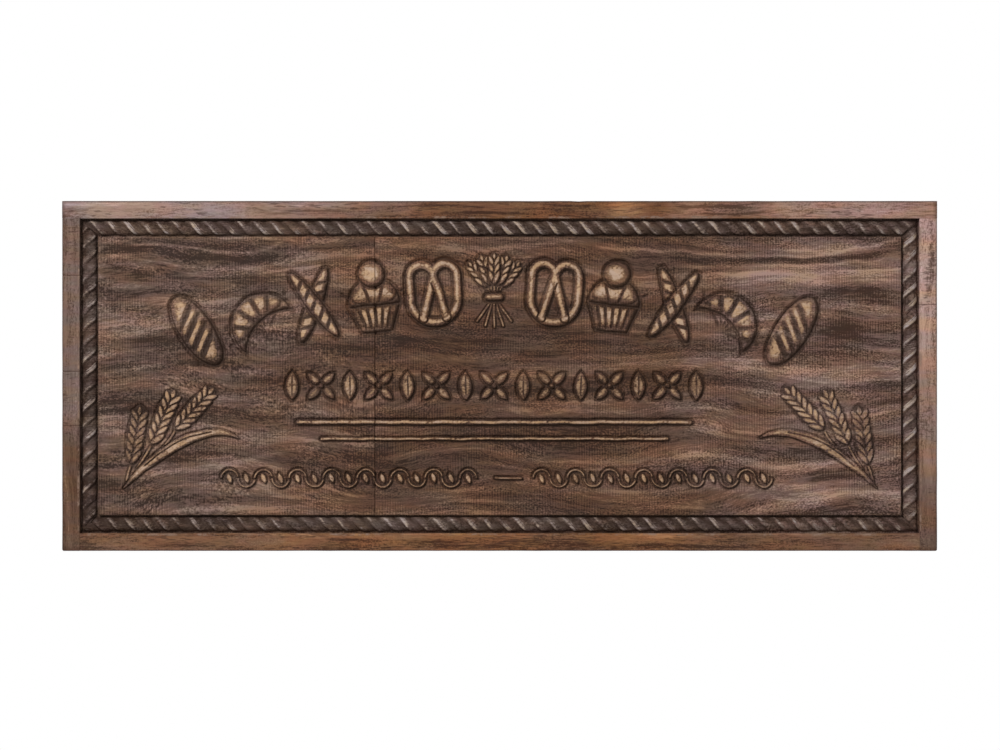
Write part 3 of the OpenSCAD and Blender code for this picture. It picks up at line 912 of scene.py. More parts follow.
def joined(*parts: Distance) -> Distance:
    """Join several strokes or shapes into one."""
    return lambda u, v: np.minimum.reduce([part(u, v) for part in parts])


def trimmed(shape: Distance, *cuts: Distance) -> Distance:
    """Take shapes away from another one."""
    return lambda u, v: np.maximum.reduce([shape(u, v), *(-cut(u, v) for cut in cuts)])


def outline(shape: Distance) -> Distance:
    """Draw the outline of a shape, as a line without width."""
    return lambda u, v: np.abs(shape(u, v))


def disc(x: float, z: float, radius: float) -> Distance:
    """Draw a disc."""
    return lambda u, v: np.hypot(u - x, v - z) - radius


def ring(x: float, z: float, radius: float, half: float) -> Distance:
    """Draw a ring, with half its width on each side of its radius."""
    return lambda u, v: np.abs(np.hypot(u - x, v - z) - radius) - half


def half_plane(level: float, above: bool) -> Distance:
    """Draw everything above or below a level."""
    return lambda u, v: (level - v) if above else (v - level)


def lens(width: float, height: float) -> Distance:
    """Draw an upright lens with pointed ends about the origin.

    Args:
        width: Its width.
        height: Its height from point to point.

    Returns:
        The distance from its edge, below 0 inside it.
    """
    radius = (width * width + height * height) / (4 * width)
    offset = radius - width / 2
    return lambda u, v: np.hypot(np.abs(u) + offset, v) - radius


def oval(width: float, height: float) -> Distance:
    """Draw an upright oval about the origin.

    Args:
        width: Its width.
        height: Its height.

    Returns:
        The distance from its edge, below 0 inside it.
    """
    a, b = width / 2, height / 2
    tiny = 1e-6

    def distance(u: Values, v: Values) -> Values:
        """Measure from the oval's edge, to first order.

        Args:
            u: The places to the right.
            v: The places upwards.

        Returns:
            The distances, below 0 inside it.
        """
        near = np.hypot(u / a, v / b) + tiny
        slope = np.hypot(u / a**2, v / b**2) + tiny / a
        return near * (near - 1) / slope

    return distance


def crescent(chord: float, outer: float, inner: float) -> Distance:
    """Draw a crescent on a chord along x, which rises by outer and is hollowed by inner.

    Args:
        chord: The distance between its points.
        outer: The rise of its upper arc.
        inner: The rise of its lower arc.

    Returns:
        The distance from its edge, below 0 inside it.
    """
    outer_r = (chord * chord / 4 + outer * outer) / (2 * outer)
    inner_r = (chord * chord / 4 + inner * inner) / (2 * inner)
    whole = disc(0, outer - outer_r, outer_r)
    hollow = disc(0, inner - inner_r, inner_r)
    return trimmed(whole, hollow)


def curve(points: Sequence[Point], steps: int = 24) -> list[Point]:
    """Walk along a Bezier curve of any degree.

    Args:
        points: Its control points, end points included.
        steps: The number of steps.

    Returns:
        The points walked over.
    """
    degree = len(points) - 1
    walked = []
    for step in range(steps + 1):
        t = step / steps
        shares = [math.comb(degree, i) * t**i * (1 - t) ** (degree - i) for i in range(degree + 1)]
        sums = (sum(share * place for share, place in zip(shares, axis)) for axis in zip(*points))
        walked.append(tuple(sums))
    return walked


def stroke(points: Sequence[Point], half: Callable[[float], float]) -> Distance:
    """Draw a stroke along points; half gives half its width at a share from 0 to 1 of the way."""
    last = len(points) - 1
    return joined(*(bar(points[i], points[i + 1], half(i / last), half((i + 1) / last)) for i in range(last)))


@dataclass(frozen=True)
class Face:
    """A window on the panel's face: its height over the field, what is rubbed light, partly as a painted
    highlight, and what is darkened, partly by grime and partly as painted shade.
    """

    height: Values
    rub_and_highlight: Values
    dirt_and_shade: Values


@dataclass(frozen=True)
class Gap:
    """The distance from a form's edge or middle line: its own, and two that are seen a little from aside.

    The rubbed colour is drawn towards the lit side as a painted highlight, and the darkening reaches further
    on the shaded side as a painted shadow.
    """

    own: Values
    lit: Values
    shaded: Values


@dataclass(frozen=True)
class Cut:
    """How a kind of form is carved, in millimetres.

    It rises to its crest over the field within its shoulder. The ground round it is cut down to its foot and
    comes back to the field at the end of its ditch.
    """

    crest: float
    foot: float
    shoulder: float
    ditch: float
    gold: float = 1.0
    gold_from: float = 0.3
    # How far in from a form's edge it is darkened, further on its shaded side: grime and painted shade.
    dirt_and_shade_w: float = 1.6
    rim: float = 0.2

    @property
    def highlight_shift(self) -> float:
        """Say how far its rubbed colour is drawn towards the lit side: a painted highlight."""
        return HIGHLIGHT_SHIFT * self.shoulder

    def carve(self, gap: Gap, face: Face) -> None:
        """Carve a form into the face.

        Args:
            gap: The distance from the form's edge, below 0 inside it.
            face: The window of the face that it lies in.
        """
        inside = gap.own < 0
        share = np.clip(-gap.own / self.shoulder, 0, 1)
        lit_share = np.clip(-gap.lit / self.shoulder, 0, 1)
        dome = np.sqrt(1 - (1 - share) ** 2)
        away = gap.own / self.ditch
        ditch = -self.foot * (1 - ease(away, 0.35, 1))
        raised = (self.crest + self.foot) * dome - self.foot
        face.height[:] = np.where(inside, raised, np.minimum(face.height, ditch))
        # A faint light rim round the top of the ditch: a rubbed arris, partly a painted highlight of the lit
        # outer slope.
        rim = self.rim * ease(away, 0.75, 1.0) * (1 - ease(away, 1.05, 1.5))
        outside = np.maximum(face.rub_and_highlight * ease(away, 0.3, 1), rim)
        # Inside, the gold is measured from the edge seen from the lit side, so that it is drawn towards the
        # light: a painted highlight on the dry-brushed gold.
        face.rub_and_highlight[:] = np.where(inside, self.gold * ease(lit_share, self.gold_from, 1.0), outside)
        # The ditch is darkened, and so is the form's own edge: grime and stain settled in the cut, and
        # painted shade, which reaches further on the shaded side.
        near = np.minimum(ease(away, 0.0, 0.6), ease(gap.shaded / self.ditch, 0.0, 0.72))
        dirty_and_shaded = np.maximum(face.dirt_and_shade, FULL_DIRT_AND_SHADE * (1 - near))
        face.dirt_and_shade[:] = np.where(inside, FULL_DIRT_AND_SHADE * (1 - ease(-gap.lit, 0.1, self.dirt_and_shade_w)), dirty_and_shaded)


@dataclass(frozen=True)
class Score:
    """A V cut scored into a form, in millimetres."""

    depth: float
    half: float

    @property
    def highlight_shift(self) -> float:
        """Say how far the rubbed colour is drawn towards the lit side of it: a painted highlight."""
        return HIGHLIGHT_SHIFT * self.half

    def carve(self, gap: Gap, face: Face) -> None:
        """Cut the V into the face.

        Args:
            gap: The distance from its middle line.
            face: The window of the face that it lies in.
        """
        raised = ease(face.height, -1.8, -0.2)
        near = 1 - ease(gap.own / self.half, -0.1, 1)
        face.height[:] -= self.depth * near * raised
        # The gold beside a cut is measured from the lit side, a painted highlight, and the cut is darkened,
        # partly grime and partly painted shade.
        face.rub_and_highlight[:] *= 1 - ease((1 - ease(gap.lit / self.half, -0.1, 1)) * raised, 0.0, 0.7)
        face.dirt_and_shade[:] = np.maximum(face.dirt_and_shade, 0.9 * ease(near * raised, 0.4, 1.0))


@dataclass(frozen=True)
class Form:
    """One carved form or score: where it is, how far it reaches, its shape and how it is cut."""

    spot: Spot
    reach: float
    shape: Distance
    cut: Cut | Score


LOAF = Cut(crest=1.4, foot=4.6, shoulder=14.0, ditch=4.6, gold_from=0.0, dirt_and_shade_w=3.0)
CROISSANT = Cut(crest=1.4, foot=4.6, shoulder=11.0, ditch=4.6, gold_from=0.0, dirt_and_shade_w=2.8)
BAGUETTE = Cut(crest=1.4, foot=4.2, shoulder=7.6, ditch=4.2, gold_from=0.06, dirt_and_shade_w=2.2)
CUP = Cut(crest=0.9, foot=4.4, shoulder=12.0, ditch=4.4, gold=0.86, gold_from=0.0, dirt_and_shade_w=2.6)
DOME = Cut(crest=1.4, foot=4.4, shoulder=12.0, ditch=4.4, gold_from=0.0, dirt_and_shade_w=2.8)
KNOB = Cut(crest=1.4, foot=4.2, shoulder=11.0, ditch=4.2, gold_from=0.0, dirt_and_shade_w=2.8)
ROLL = Cut(crest=1.4, foot=4.2, shoulder=5.4, ditch=4.2, gold_from=0.1, dirt_and_shade_w=1.7, rim=0.0)
HOLLOW = Cut(crest=-3.0, foot=3.0, shoulder=6.0, ditch=0.6, gold=0.0, dirt_and_shade_w=12.0, rim=0.0)
# The sunken bed under each ear is darkened all over: painted shadow round the ear.
BED = Cut(crest=-0.5, foot=2.6, shoulder=3.0, ditch=3.6, gold=0.0, dirt_and_shade_w=8.0, rim=0.0)
GRAIN = Cut(crest=1.35, foot=1.8, shoulder=2.4, ditch=1.5, gold=0.76, gold_from=0.0, dirt_and_shade_w=1.1, rim=0.0)
# The first ear's kernels take less of the rubbed gold: painted shade on that ear.
DIM_GRAIN = Cut(crest=1.35, foot=1.8, shoulder=2.4, ditch=1.5, gold=0.54, gold_from=0.0, dirt_and_shade_w=1.1, rim=0.0)
STALK = Cut(crest=0.8, foot=1.8, shoulder=1.3, ditch=1.8, gold=0.62, gold_from=0.05, dirt_and_shade_w=0.5)
LEAF = Cut(crest=1.3, foot=2.2, shoulder=3.2, ditch=2.0, gold=0.76, gold_from=0.02, dirt_and_shade_w=0.5)
BAND = Cut(crest=1.2, foot=3.4, shoulder=4.0, ditch=3.4, gold=0.66, gold_from=0.08, dirt_and_shade_w=1.0)
RULE = Cut(crest=1.1, foot=3.2, shoulder=2.4, ditch=3.2, gold=0.9, gold_from=0.16, dirt_and_shade_w=0.7)
THIN_RULE = Cut(crest=0.9, foot=2.8, shoulder=1.5, ditch=2.8, gold=0.82, gold_from=0.06, dirt_and_shade_w=0.4)
VINE = Cut(crest=0.9, foot=2.8, shoulder=1.4, ditch=2.8, gold=0.74, gold_from=0.1, dirt_and_shade_w=0.4)
SLASH = Score(depth=3.4, half=5.6)
SEAM = Score(depth=3.2, half=5.2)
FLUTE = Score(depth=2.8, half=3.4)
NICK = Score(depth=2.4, half=3.4)
CREASE = Score(depth=1.6, half=1.3)
SPINE = Score(depth=1.2, half=1.2)
SPLIT = Score(depth=2.2, half=1.5)
CROSSING = Score(depth=3.2, half=1.9)


class Motif(Enum):
    """What stands in the arched row."""

    LOAF = "loaf"
    CROISSANT = "croissant"
    BAGUETTES = "baguettes"
    BRIOCHE = "brioche"
    PRETZEL = "pretzel"
    SHEAF = "sheaf"


@dataclass
class Carving:
    """All that is carved on the panel, in millimetres, laid out as on the CAD solids but for finer sprigs."""

    middle_x: float = -6.0
    arch_z: float = 98.0
    arch_r: float = 1266.0
    arch_pitch: float = 69.0
    motif_h: float = 90.0
    band_z: float = -11.5
    band_pitch: float = 33.0
    band_count: int = 15
    rules: tuple[tuple[float, float, float, Cut], ...] = (
        (448.0, 5.5, -53.0, RULE),
        (395.0, 3.7, -72.0, THIN_RULE),
    )
    vine_z: float = -117.0
    vine_runs: tuple[Point, ...] = ((-325.0, -20.0), (37.0, 313.0))
    vine_bay: float = 19.5
    vine_w: float = 2.6
    dash: Point = (-4.0, 25.0)
    sprig_foot: Point = (-431.0, -128.0)
    ears: tuple[tuple[Point, Point], ...] = (
        ((-420.5, -101.0), (-411.0, -36.5)),
        ((-398.0, -78.5), (-371.5, -17.5)),
        ((-370.5, -62.0), (-327.0, -14.5)),
    )
    ear_w: float = 20.5
    leaf_bend: tuple[Point, ...] = ((-388.0, -84.0), (-334.0, -50.0))
    leaf_tip: Point = (-298.0, -71.0)
    leaf_thin: float = 0.7
    leaf_swell: float = 5.2
    leaf_split: tuple[Point, ...] = ((-405.0, -103.0), (-382.0, -80.0), (-357.0, -68.0), (-330.0, -64.5))
    stalk_joins: tuple[Point, ...] = ((-427.0, -121.0), (-414.0, -106.0), (-394.0, -90.0))
    sprig_x: float = -366.0
    sprig_z: float = -70.0
    forms: list[Form] = field(default_factory=list)

    ARCH = (Motif.LOAF, Motif.CROISSANT, Motif.BAGUETTES, Motif.BRIOCHE, Motif.PRETZEL)

    def cut(self, spot: Spot, reach: float, shape: Distance, cut: Cut | Score) -> None:
        """Add one form to the carving."""
        self.forms.append(Form(spot, reach, shape, cut))

    def lay_out(self) -> list[Form]:
        """Lay out every form, the ones behind first.

        Returns:
            The forms.
        """
        self.arch()
        self.band()
        for length, width, z, cut in self.rules:
            half = length / 2
            self.cut(Spot(self.middle_x, z), half + 9, bar((-half, 0), (half, 0), width / 2), cut)
        for start, end in self.vine_runs:
            self.vine(start, end)
        self.cut(Spot(0, self.vine_z), 40, bar((self.dash[0], 0), (self.dash[1], 0), self.vine_w / 2), VINE)
        for flipped in (False, True):
            self.sprig(Spot(flipped=flipped))
        return self.forms

    def arch(self) -> None:
        """Lay out the arched row, whose right half mirrors its left."""
        row = (*self.ARCH, Motif.SHEAF, *reversed(self.ARCH))
        makers = {
            Motif.LOAF: self.loaf,
            Motif.CROISSANT: self.croissant,
            Motif.BAGUETTES: self.baguettes,
            Motif.BRIOCHE: self.brioche,
            Motif.PRETZEL: self.pretzel,
            Motif.SHEAF: self.sheaf,
        }
        for index, motif in enumerate(row):
            turn = (index - len(self.ARCH)) * self.arch_pitch / self.arch_r
            x = self.middle_x + self.arch_r * math.sin(turn)
            z = self.arch_z - self.arch_r * (1 - math.cos(turn))
            makers[motif](Spot(x, z, -math.degrees(turn), index > len(self.ARCH)))

    def loaf(self, spot: Spot) -> None:
        """Carve a round-ended loaf with four slashes.

        Args:
            spot: Where it stands.
        """
        width, tilt, reach = 38.0, 18.0, 56.0
        slashes, lean, slash, slash_reach, margin = 4, 35.0, (1.6, 27.0), 22.0, 18.0
        body = spot.then(0, 0, tilt)
        self.cut(body, reach, oval(width, self.motif_h), LOAF)
        step = (self.motif_h - margin) / (slashes + 1)
        for index in range(slashes):
            place = body.then(0, (index - (slashes - 1) / 2) * step, lean)
            self.cut(place.then(0, 0, 90), slash_reach, lens(*slash), SLASH)

    def croissant(self, spot: Spot) -> None:
        """Carve a croissant with six seams between its rolls.

        Args:
            spot: Where it stands.
        """
        chord, rise, hollow, tilt, reach = 72.0, 44.0, 15.0, 32.0, 60.0
        seam = bar((0, hollow - 8), (0, rise + 2), 0.0)
        body = spot.then(0, 0, tilt).then(0, -rise / 2)
        self.cut(body, reach, crescent(chord, rise, hollow), CROISSANT)
        for turn in (-68, -42, -14, 14, 42, 68):
            self.cut(body.then(0, 0, turn), reach, seam, SEAM)

    def baguettes(self, spot: Spot) -> None:
        """Carve two crossed baguettes, the second over the first.

        Args:
            spot: Where it stands.
        """
        width, reach = 17.0, 54.0
        slashes, lean, slash, slash_reach, margin = 5, 35.0, (1.0, 13.0), 14.0, 8.0
        step = (self.motif_h - margin) / (slashes + 1)
        for turn in (-28, 28):
            body = spot.then(0, 0, turn)
            self.cut(body, reach, oval(width, self.motif_h), BAGUETTE)
            for index in range(slashes):
                place = body.then(0, (index - (slashes - 1) / 2) * step, lean)
                self.cut(place.then(0, 0, 90), slash_reach, lens(*slash), NICK)

    def brioche(self, spot: Spot) -> None:
        """Carve a brioche: its fluted foot, its domed crown and its round head.

        Args:
            spot: Where it stands.
        """
        foot_z, foot_half, rim_z, rim_half = -40.0, 17.0, -8.0, 29.0
        head_z, head_r, flutes, reach = 26.0, 15.0, 6, 50.0
        lean = (rim_half - foot_half) / (rim_z - foot_z)
        steep = math.hypot(1, lean)

        def cup(u: Values, v: Values) -> Values:
            """Measure from the foot's sloping sides and its base and rim."""
            side = (np.abs(u) - foot_half - (v - foot_z) * lean) / steep
            return np.maximum.reduce([side, foot_z - v, v - rim_z])

        self.cut(spot, reach, cup, CUP)
        for index in range(1, flutes):
            along = index / flutes - 0.5
            ends = (along * 2 * foot_half, foot_z), (along * 2 * rim_half, rim_z)
            self.cut(spot, reach, bar(*ends, 0.0), FLUTE)
        dome = trimmed(disc(0, rim_z, rim_half), half_plane(rim_z - 1, above=False))
        self.cut(spot, reach, dome, DOME)
        for turn in (-52, -18, 18, 52):
            fold = spot.then(0, rim_z - 14, turn)
            self.cut(fold, reach, bar((0, 16), (0, 46), 0.0), FLUTE)
        self.cut(spot, reach, disc(0, head_z, head_r), KNOB)

    def pretzel(self, spot: Spot) -> None:
        """Carve a pretzel, whose second arm crosses over its first.

        Args:
            spot: Where it stands.
        """
        half, lobe_r, lobe_z, belly_z = 5.0, 13.5, 18.0, -8.0
        end_z, knot_z, lap, reach = -30.0, 9.0, 3.0, 60.0
        lobes = [bar((side * lobe_r, belly_z), (side * lobe_r, lobe_z), lobe_r) for side in (-1, 1)]
        self.cut(spot, reach, joined(disc(0, belly_z, 2 * lobe_r), *lobes), HOLLOW)
        parts = [trimmed(ring(0, belly_z, 2 * lobe_r, half), half_plane(belly_z + lap, above=True))]
        for side in (-1, 1):
            lobe = ring(side * lobe_r, lobe_z, lobe_r, half)
            parts.append(trimmed(lobe, half_plane(lobe_z - lap, above=False)))
            parts.append(bar((side * 2 * lobe_r, belly_z), (side * 2 * lobe_r, lobe_z), half))
        arms = [bar((0, lobe_z), (side * lobe_r, end_z), half) for side in (-1, 1)]
        self.cut(spot, reach, joined(*parts, *arms), ROLL)
        above = half_plane(knot_z, above=True)
        self.cut(spot, reach, trimmed(outline(arms[0]), arms[1], above), CROSSING)
        self.cut(spot, reach, trimmed(outline(arms[1]), above), CROSSING)

    def sheaf(self, spot: Spot) -> None:
        """Carve a sheaf: stalks that fan out below and above a tie, and five ears.

        Args:
            spot: Where it stands.
        """
        tie_z, ear_l, ear_w, pairs, lean, reach = -8.0, 34.0, 13.0, 3, 24.0, 50.0
        for turn in (-36, 36, -18, 18, 0):
            stalk = spot.then(0, tie_z, turn)
            self.cut(stalk, reach, bar((0, -ear_l), (0, ear_l / 2), 1.5), STALK)
            self.ear(stalk.then(0, ear_l / 2 - 2), ear_l, ear_w, pairs, lean)
        self.cut(spot.then(0, tie_z), 20, bar((-7, 0), (7, 0), 4.0), ROLL)

    def ear(
        self, foot: Spot, length: float, width: float, pairs: int, lean: float, grain: Cut = GRAIN
    ) -> None:
        """Carve an ear of wheat that grows up from its foot.

        Args:
            foot: Where it starts, with its own upward direction.
            length: Its length.
            width: Its width.
            pairs: The number of kernels on each side.
            lean: How far a kernel leans outwards, in degrees.
            grain: How a kernel is carved.
        """
        step = length / (pairs + 1.1)
        self.cut(foot.then(0, length * 0.52), length, oval(width * 0.98, length * 1.03), BED)
        kernel = oval(step * 0.7, step * 2.05)
        self.cut(foot.then(0, length - step * 0.84), step * 2, kernel, grain)
        for index in reversed(range(pairs)):
            for side in (-1, 1):
                place = foot.then(side * width * 0.2, (index + 0.92) * step, -side * lean)
                self.cut(place, step * 2, kernel, grain)
        self.cut(foot, length, bar((0, 1), (0, length - step * 1.3), 0.0), SPINE)

    def band(self) -> None:
        """Lay out the straight band: kernels and rosettes by turns."""
        for index in range(self.band_count):
            spot = Spot(self.middle_x + (index - (self.band_count - 1) / 2) * self.band_pitch, self.band_z)
            if index % 2 == 0:
                self.cut(spot, 24, lens(15, 33), BAND)
                self.cut(spot, 24, bar((0, -11), (0, 11), 0.0), CREASE)
                continue
            for turn in (45, 135, 225, 315):
                petal = spot.then(0, 0, turn).then(0, 11)
                self.cut(petal, 16, lens(9.5, 21), BAND)
            self.cut(spot, 10, disc(0, 0, 3.0), BAND)

    def vine(self, start: float, end: float) -> None:
        """Lay out a wavy stem with a leaf in each of its bays.

        Args:
            start: Where it starts, to the right of the sign's centre.
            end: Where it ends.
        """
        bays = int((end - start) // self.vine_bay)
        first = (start + end - bays * self.vine_bay) / 2
        for index in range(bays):
            bay = Spot(first + (index + 0.5) * self.vine_bay, self.vine_z, index % 2 * 180.0)
            arc = trimmed(ring(0, 0, self.vine_bay / 2, self.vine_w / 2), half_plane(0, above=False))
            self.cut(bay, 18, arc, VINE)
            self.cut(bay.then(0, 0, 20), 12, lens(6, 13), VINE)

    def sprig(self, spot: Spot) -> None:
        """Carve the three ears and the long leaf at one lower corner.

        Args:
            spot: The sign's centre, flipped for the right corner.
        """
        reach, pairs, lean = 130.0, 6, 31.0

        def line(*points: Point, steps: int = 24) -> list[Point]:
            """Walk along a curve through the panel."""
            return curve([(x - self.sprig_x, z - self.sprig_z) for x, z in points], steps)

        def leaf_half(share: float) -> float:
            """Give half the leaf's width at a share of its length."""
            return self.leaf_thin + self.leaf_swell * math.sin(math.pi * share**0.9) ** 0.9

        middle = spot.then(self.sprig_x, self.sprig_z)
        blade = line(self.sprig_foot, *self.leaf_bend, self.leaf_tip)
        for (foot, tip), join, grain in zip(self.ears, self.stalk_joins, (DIM_GRAIN, GRAIN, GRAIN)):
            stalk = line(foot, (foot[0] - 6, foot[1] - 13), join, steps=8)
            self.cut(middle, reach, stroke(stalk, lambda share: 1.5), STALK)
            run = math.hypot(tip[0] - foot[0], tip[1] - foot[1])
            turn = math.degrees(math.atan2(tip[1] - foot[1], tip[0] - foot[0])) - 90
            self.ear(spot.then(foot[0], foot[1], turn), run, self.ear_w, pairs, lean, grain)
        self.cut(middle, reach, stroke(blade, leaf_half), LEAF)
        self.cut(middle, reach, stroke(line(*self.leaf_split, steps=12), lambda share: 0.0), SPLIT)


@dataclass
class Studio:
    """The camera where the photograph was taken from, soft lamps, a pale floor and a white surround."""

    distance: float = 3.0125
    eye: Point = (0.0004, 0.00105)
    lens: float = 94.4
    floor_z: float = -1.25
    floor_size: float = 6.5
    ambient: float = 0.22

    def build(self) -> None:
        """Set up the camera, the surround, the lamps and the floor."""
        self.camera()
        self.surround()
        self.lamp("key", (-1.7, -2.7, 1.9), 1.0, 110.0)
        self.lamp("fill", (2.2, -2.5, 0.5), 2.2, 15.0)
        self.lamp("wall_side", (0.8, 2.8, 1.6), 2.2, 80.0)
        self.floor()

    def camera(self) -> None:
        """Add the camera, square to the sign's face."""
        data = bpy.data.cameras.new("camera")
        data.lens = self.lens
        data.sensor_width = 36.0
        camera = bpy.data.objects.new("camera", data)
        camera.location = (self.eye[0], -self.distance, self.eye[1])
        camera.rotation_euler = (math.pi / 2, 0, 0)
        bpy.context.scene.collection.objects.link(camera)
        bpy.context.scene.camera = camera
        bpy.context.scene.view_settings.view_transform = "Standard"

    def surround(self) -> None:
        """Show white to the camera and in gloss, and light the sign softly."""
        world = bpy.data.worlds.new("surround")
        bpy.context.scene.world = world
        world.use_nodes = True
        graph = Graph(world.node_tree)
        rays = graph.add("LightPath").outputs
        seen = graph.math("MAXIMUM", rays["Is Camera Ray"], rays["Is Glossy Ray"])
        seen = graph.math("MAXIMUM", seen, rays["Is Transmission Ray"])
        background = world.node_tree.nodes["Background"]
        background.inputs["Color"].default_value = (1, 1, 1, 1)
        graph.feed(background.inputs["Strength"], graph.spread(seen, 0, 1, self.ambient, 1.0))

    def lamp(self, name: str, place: Sequence[float], size: float, power: float) -> None:
        """Add one soft square lamp that faces the sign.

        Args:
            name: The lamp's name.
            place: Where it stands.
            size: The length of its sides.
            power: Its power in watts.
        """
        data = bpy.data.lights.new(name, "AREA")
        data.size = size
        data.energy = power
        lamp = bpy.data.objects.new(name, data)
        lamp.location = place
        lamp.rotation_euler = (-Vector(place)).to_track_quat("-Z", "Y").to_euler()
        bpy.context.scene.collection.objects.link(lamp)

    def floor(self) -> None:
        """Lay the pale floor, well below the sign, which hangs on a wall."""
        Bench.clear()
        bpy.ops.mesh.primitive_plane_add(size=self.floor_size, location=(0, 0, self.floor_z))
        floor = bpy.context.object
        floor.name = "floor"
        made, graph, shader = new_material("pale_floor")
        mottle = graph.noise(graph.cells(graph.add("TexCoord").outputs["Object"], (0.4, 0.4, 0.4)), 2.0)
        tint = graph.mix(mottle, stain(236, 236, 235), stain(241, 241, 240))
        graph.fill(shader, {"Base Color": tint, "Roughness": 0.85})
        floor.data.materials.append(made)


def through(points: Sequence[Point], x: Values) -> Values:
    """Follow a smooth line that goes through given points from left to right.

    Args:
        points: The points, from left to right.
        x: The places to the right of the sign's centre.

    Returns:
        The line's height at each of them.
    """
    xs, zs = (np.array(values) for values in zip(*points))
    slopes = np.gradient(zs, xs)
    index = np.clip(np.searchsorted(xs, x) - 1, 0, len(xs) - 2)
    width = xs[index + 1] - xs[index]
    t = np.clip((x - xs[index]) / width, 0, 1)
    rest = 1 - t
    start = (1 + 2 * t) * rest**2 * zs[index] + t * rest**2 * width * slopes[index]
    end = t**2 * (3 - 2 * t) * zs[index + 1] - t**2 * rest * width * slopes[index + 1]
    return start + end


@dataclass(frozen=True)
class Streak:
    """A light or dark streak of the panel's figure, in millimetres: its tone is above 0 where it is light."""

    tone: float
    half: float
    points: tuple[Point, ...]

    def at(self, x: Values, z: Values) -> Values:
        """Work out the streak's tone at places on the panel.

        Args:
            x: The places to the right of the sign's centre.
            z: The places above it.

        Returns:
            The tone, 0 away from the streak.
        """
        fade = max(12.0, self.half * 1.5)
        start, end = self.points[0][0], self.points[-1][0]
        along = ease(x, start - fade, start + fade) * (1 - ease(x, end - fade, end + fade))
        gap = (z - through(self.points, x)) / self.half
        return self.tone * along * np.exp(-gap * gap)


STREAKS = (
    Streak(0.3, 2.0, ((-456, 156), (-408, 151), (-354, 147), (-314, 141), (-267, 146), (-245, 156))),
    Streak(
        0.2, 2.2, ((-453, 138), (-404, 133), (-354, 125), (-304, 121), (-255, 129), (-205, 135), (-146, 139))
    ),
    Streak(0.16, 1.4, ((-440, 129), (-380, 123), (-330, 115), (-270, 119), (-200, 127))),
    Streak(0.24, 7.0, ((-440, 101), (-400, 104), (-345, 107), (-300, 101))),
    Streak(-0.24, 5.0, ((-450, 147), (-380, 140), (-310, 131), (-250, 138))),
    Streak(-0.2, 6.0, ((-450, 124), (-390, 120), (-330, 112), (-250, 116))),
    Streak(-0.24, 8.0, ((-452, 82), (-420, 78), (-384, 72))),
    Streak(-0.18, 9.0, ((-420, 44), (-370, 40), (-310, 30))),
    Streak(0.14, 3.0, ((-456, 62), (-400, 60), (-330, 58), (-260, 66))),
    Streak(0.2, 3.0, ((-425, 8), (-380, 14), (-320, 4), (-250, 10))),
    Streak(-0.22, 10.0, ((-455, -30), (-430, -34), (-400, -40))),
    Streak(0.1, 8.0, ((-457, -80), (-442, -80), (-425, -78))),
    Streak(-0.26, 11.0, ((-395, -96), (-364, -92), (-330, -84))),
    Streak(0.16, 3.5, ((-400, -117), (-320, -104), (-255, -87), (-200, -80))),
    Streak(-0.18, 12.0, ((-180, -92), (-155, -90), (-120, -94))),
    Streak(0.2, 5.0, ((-456, -151), (-350, -153), (-250, -148))),
    Streak(0.2, 2.4, ((-136, 142), (-87, 147), (-40, 143))),
    Streak(0.22, 2.0, ((-20, 144), (29, 149), (92, 155), (154, 145), (195, 141))),
    Streak(0.34, 2.2, ((115, 147), (190, 142), (275, 138), (335, 137), (365, 138), (395, 143), (455, 156))),
    Streak(0.32, 2.0, ((214, 124), (275, 126), (322, 127), (365, 127), (395, 129), (455, 136))),
    Streak(0.26, 2.0, ((230, 117), (275, 116), (332, 116), (368, 112))),
    Streak(-0.2, 3.5, ((200, 133), (275, 132), (330, 132), (370, 132), (400, 136), (440, 142))),
    Streak(-0.28, 11.0, ((370, 99), (410, 102), (440, 96))),
    Streak(-0.24, 16.0, ((378, 50), (394, 54), (410, 48))),
    Streak(-0.26, 16.0, ((425, -14), (438, -10), (450, -16))),
    Streak(0.18, 10.0, ((330, 74), (400, 78), (455, 70))),
    Streak(0.16, 5.0, ((-110, 24), (-55, 20), (20, 22))),
    Streak(0.14, 4.0, ((60, 26), (130, 20), (220, 24))),
    Streak(-0.2, 6.0, ((-120, 40), (-60, 42), (0, 38))),
    Streak(-0.16, 5.0, ((60, 44), (120, 40), (200, 46))),
    Streak(0.12, 8.0, ((340, -134), (388, -132), (450, -128))),
    Streak(-0.18, 9.0, ((355, -118), (378, -117), (400, -114))),
    Streak(-0.12, 16.0, ((-220, -148), (-60, -142), (120, -146))),
    Streak(-0.2, 20.0, ((-456, 134), (-380, 131), (-260, 132))),
    Streak(-0.32, 30.0, ((-470, -94), (-450, -94), (-425, -92))),
    Streak(-0.16, 28.0, ((-440, -110), (-434, -80), (-430, -60))),
    Streak(0.1, 36.0, ((-470, 2), (-440, 2), (-405, 2))),
    Streak(0.12, 30.0, ((300, 118), (380, 118), (460, 118))),
    Streak(-0.14, 13.0, ((180, -142), (260, -144), (330, -146))),
    Streak(-0.08, 13.0, ((-110, 141), (0, 142), (110, 143))),
)


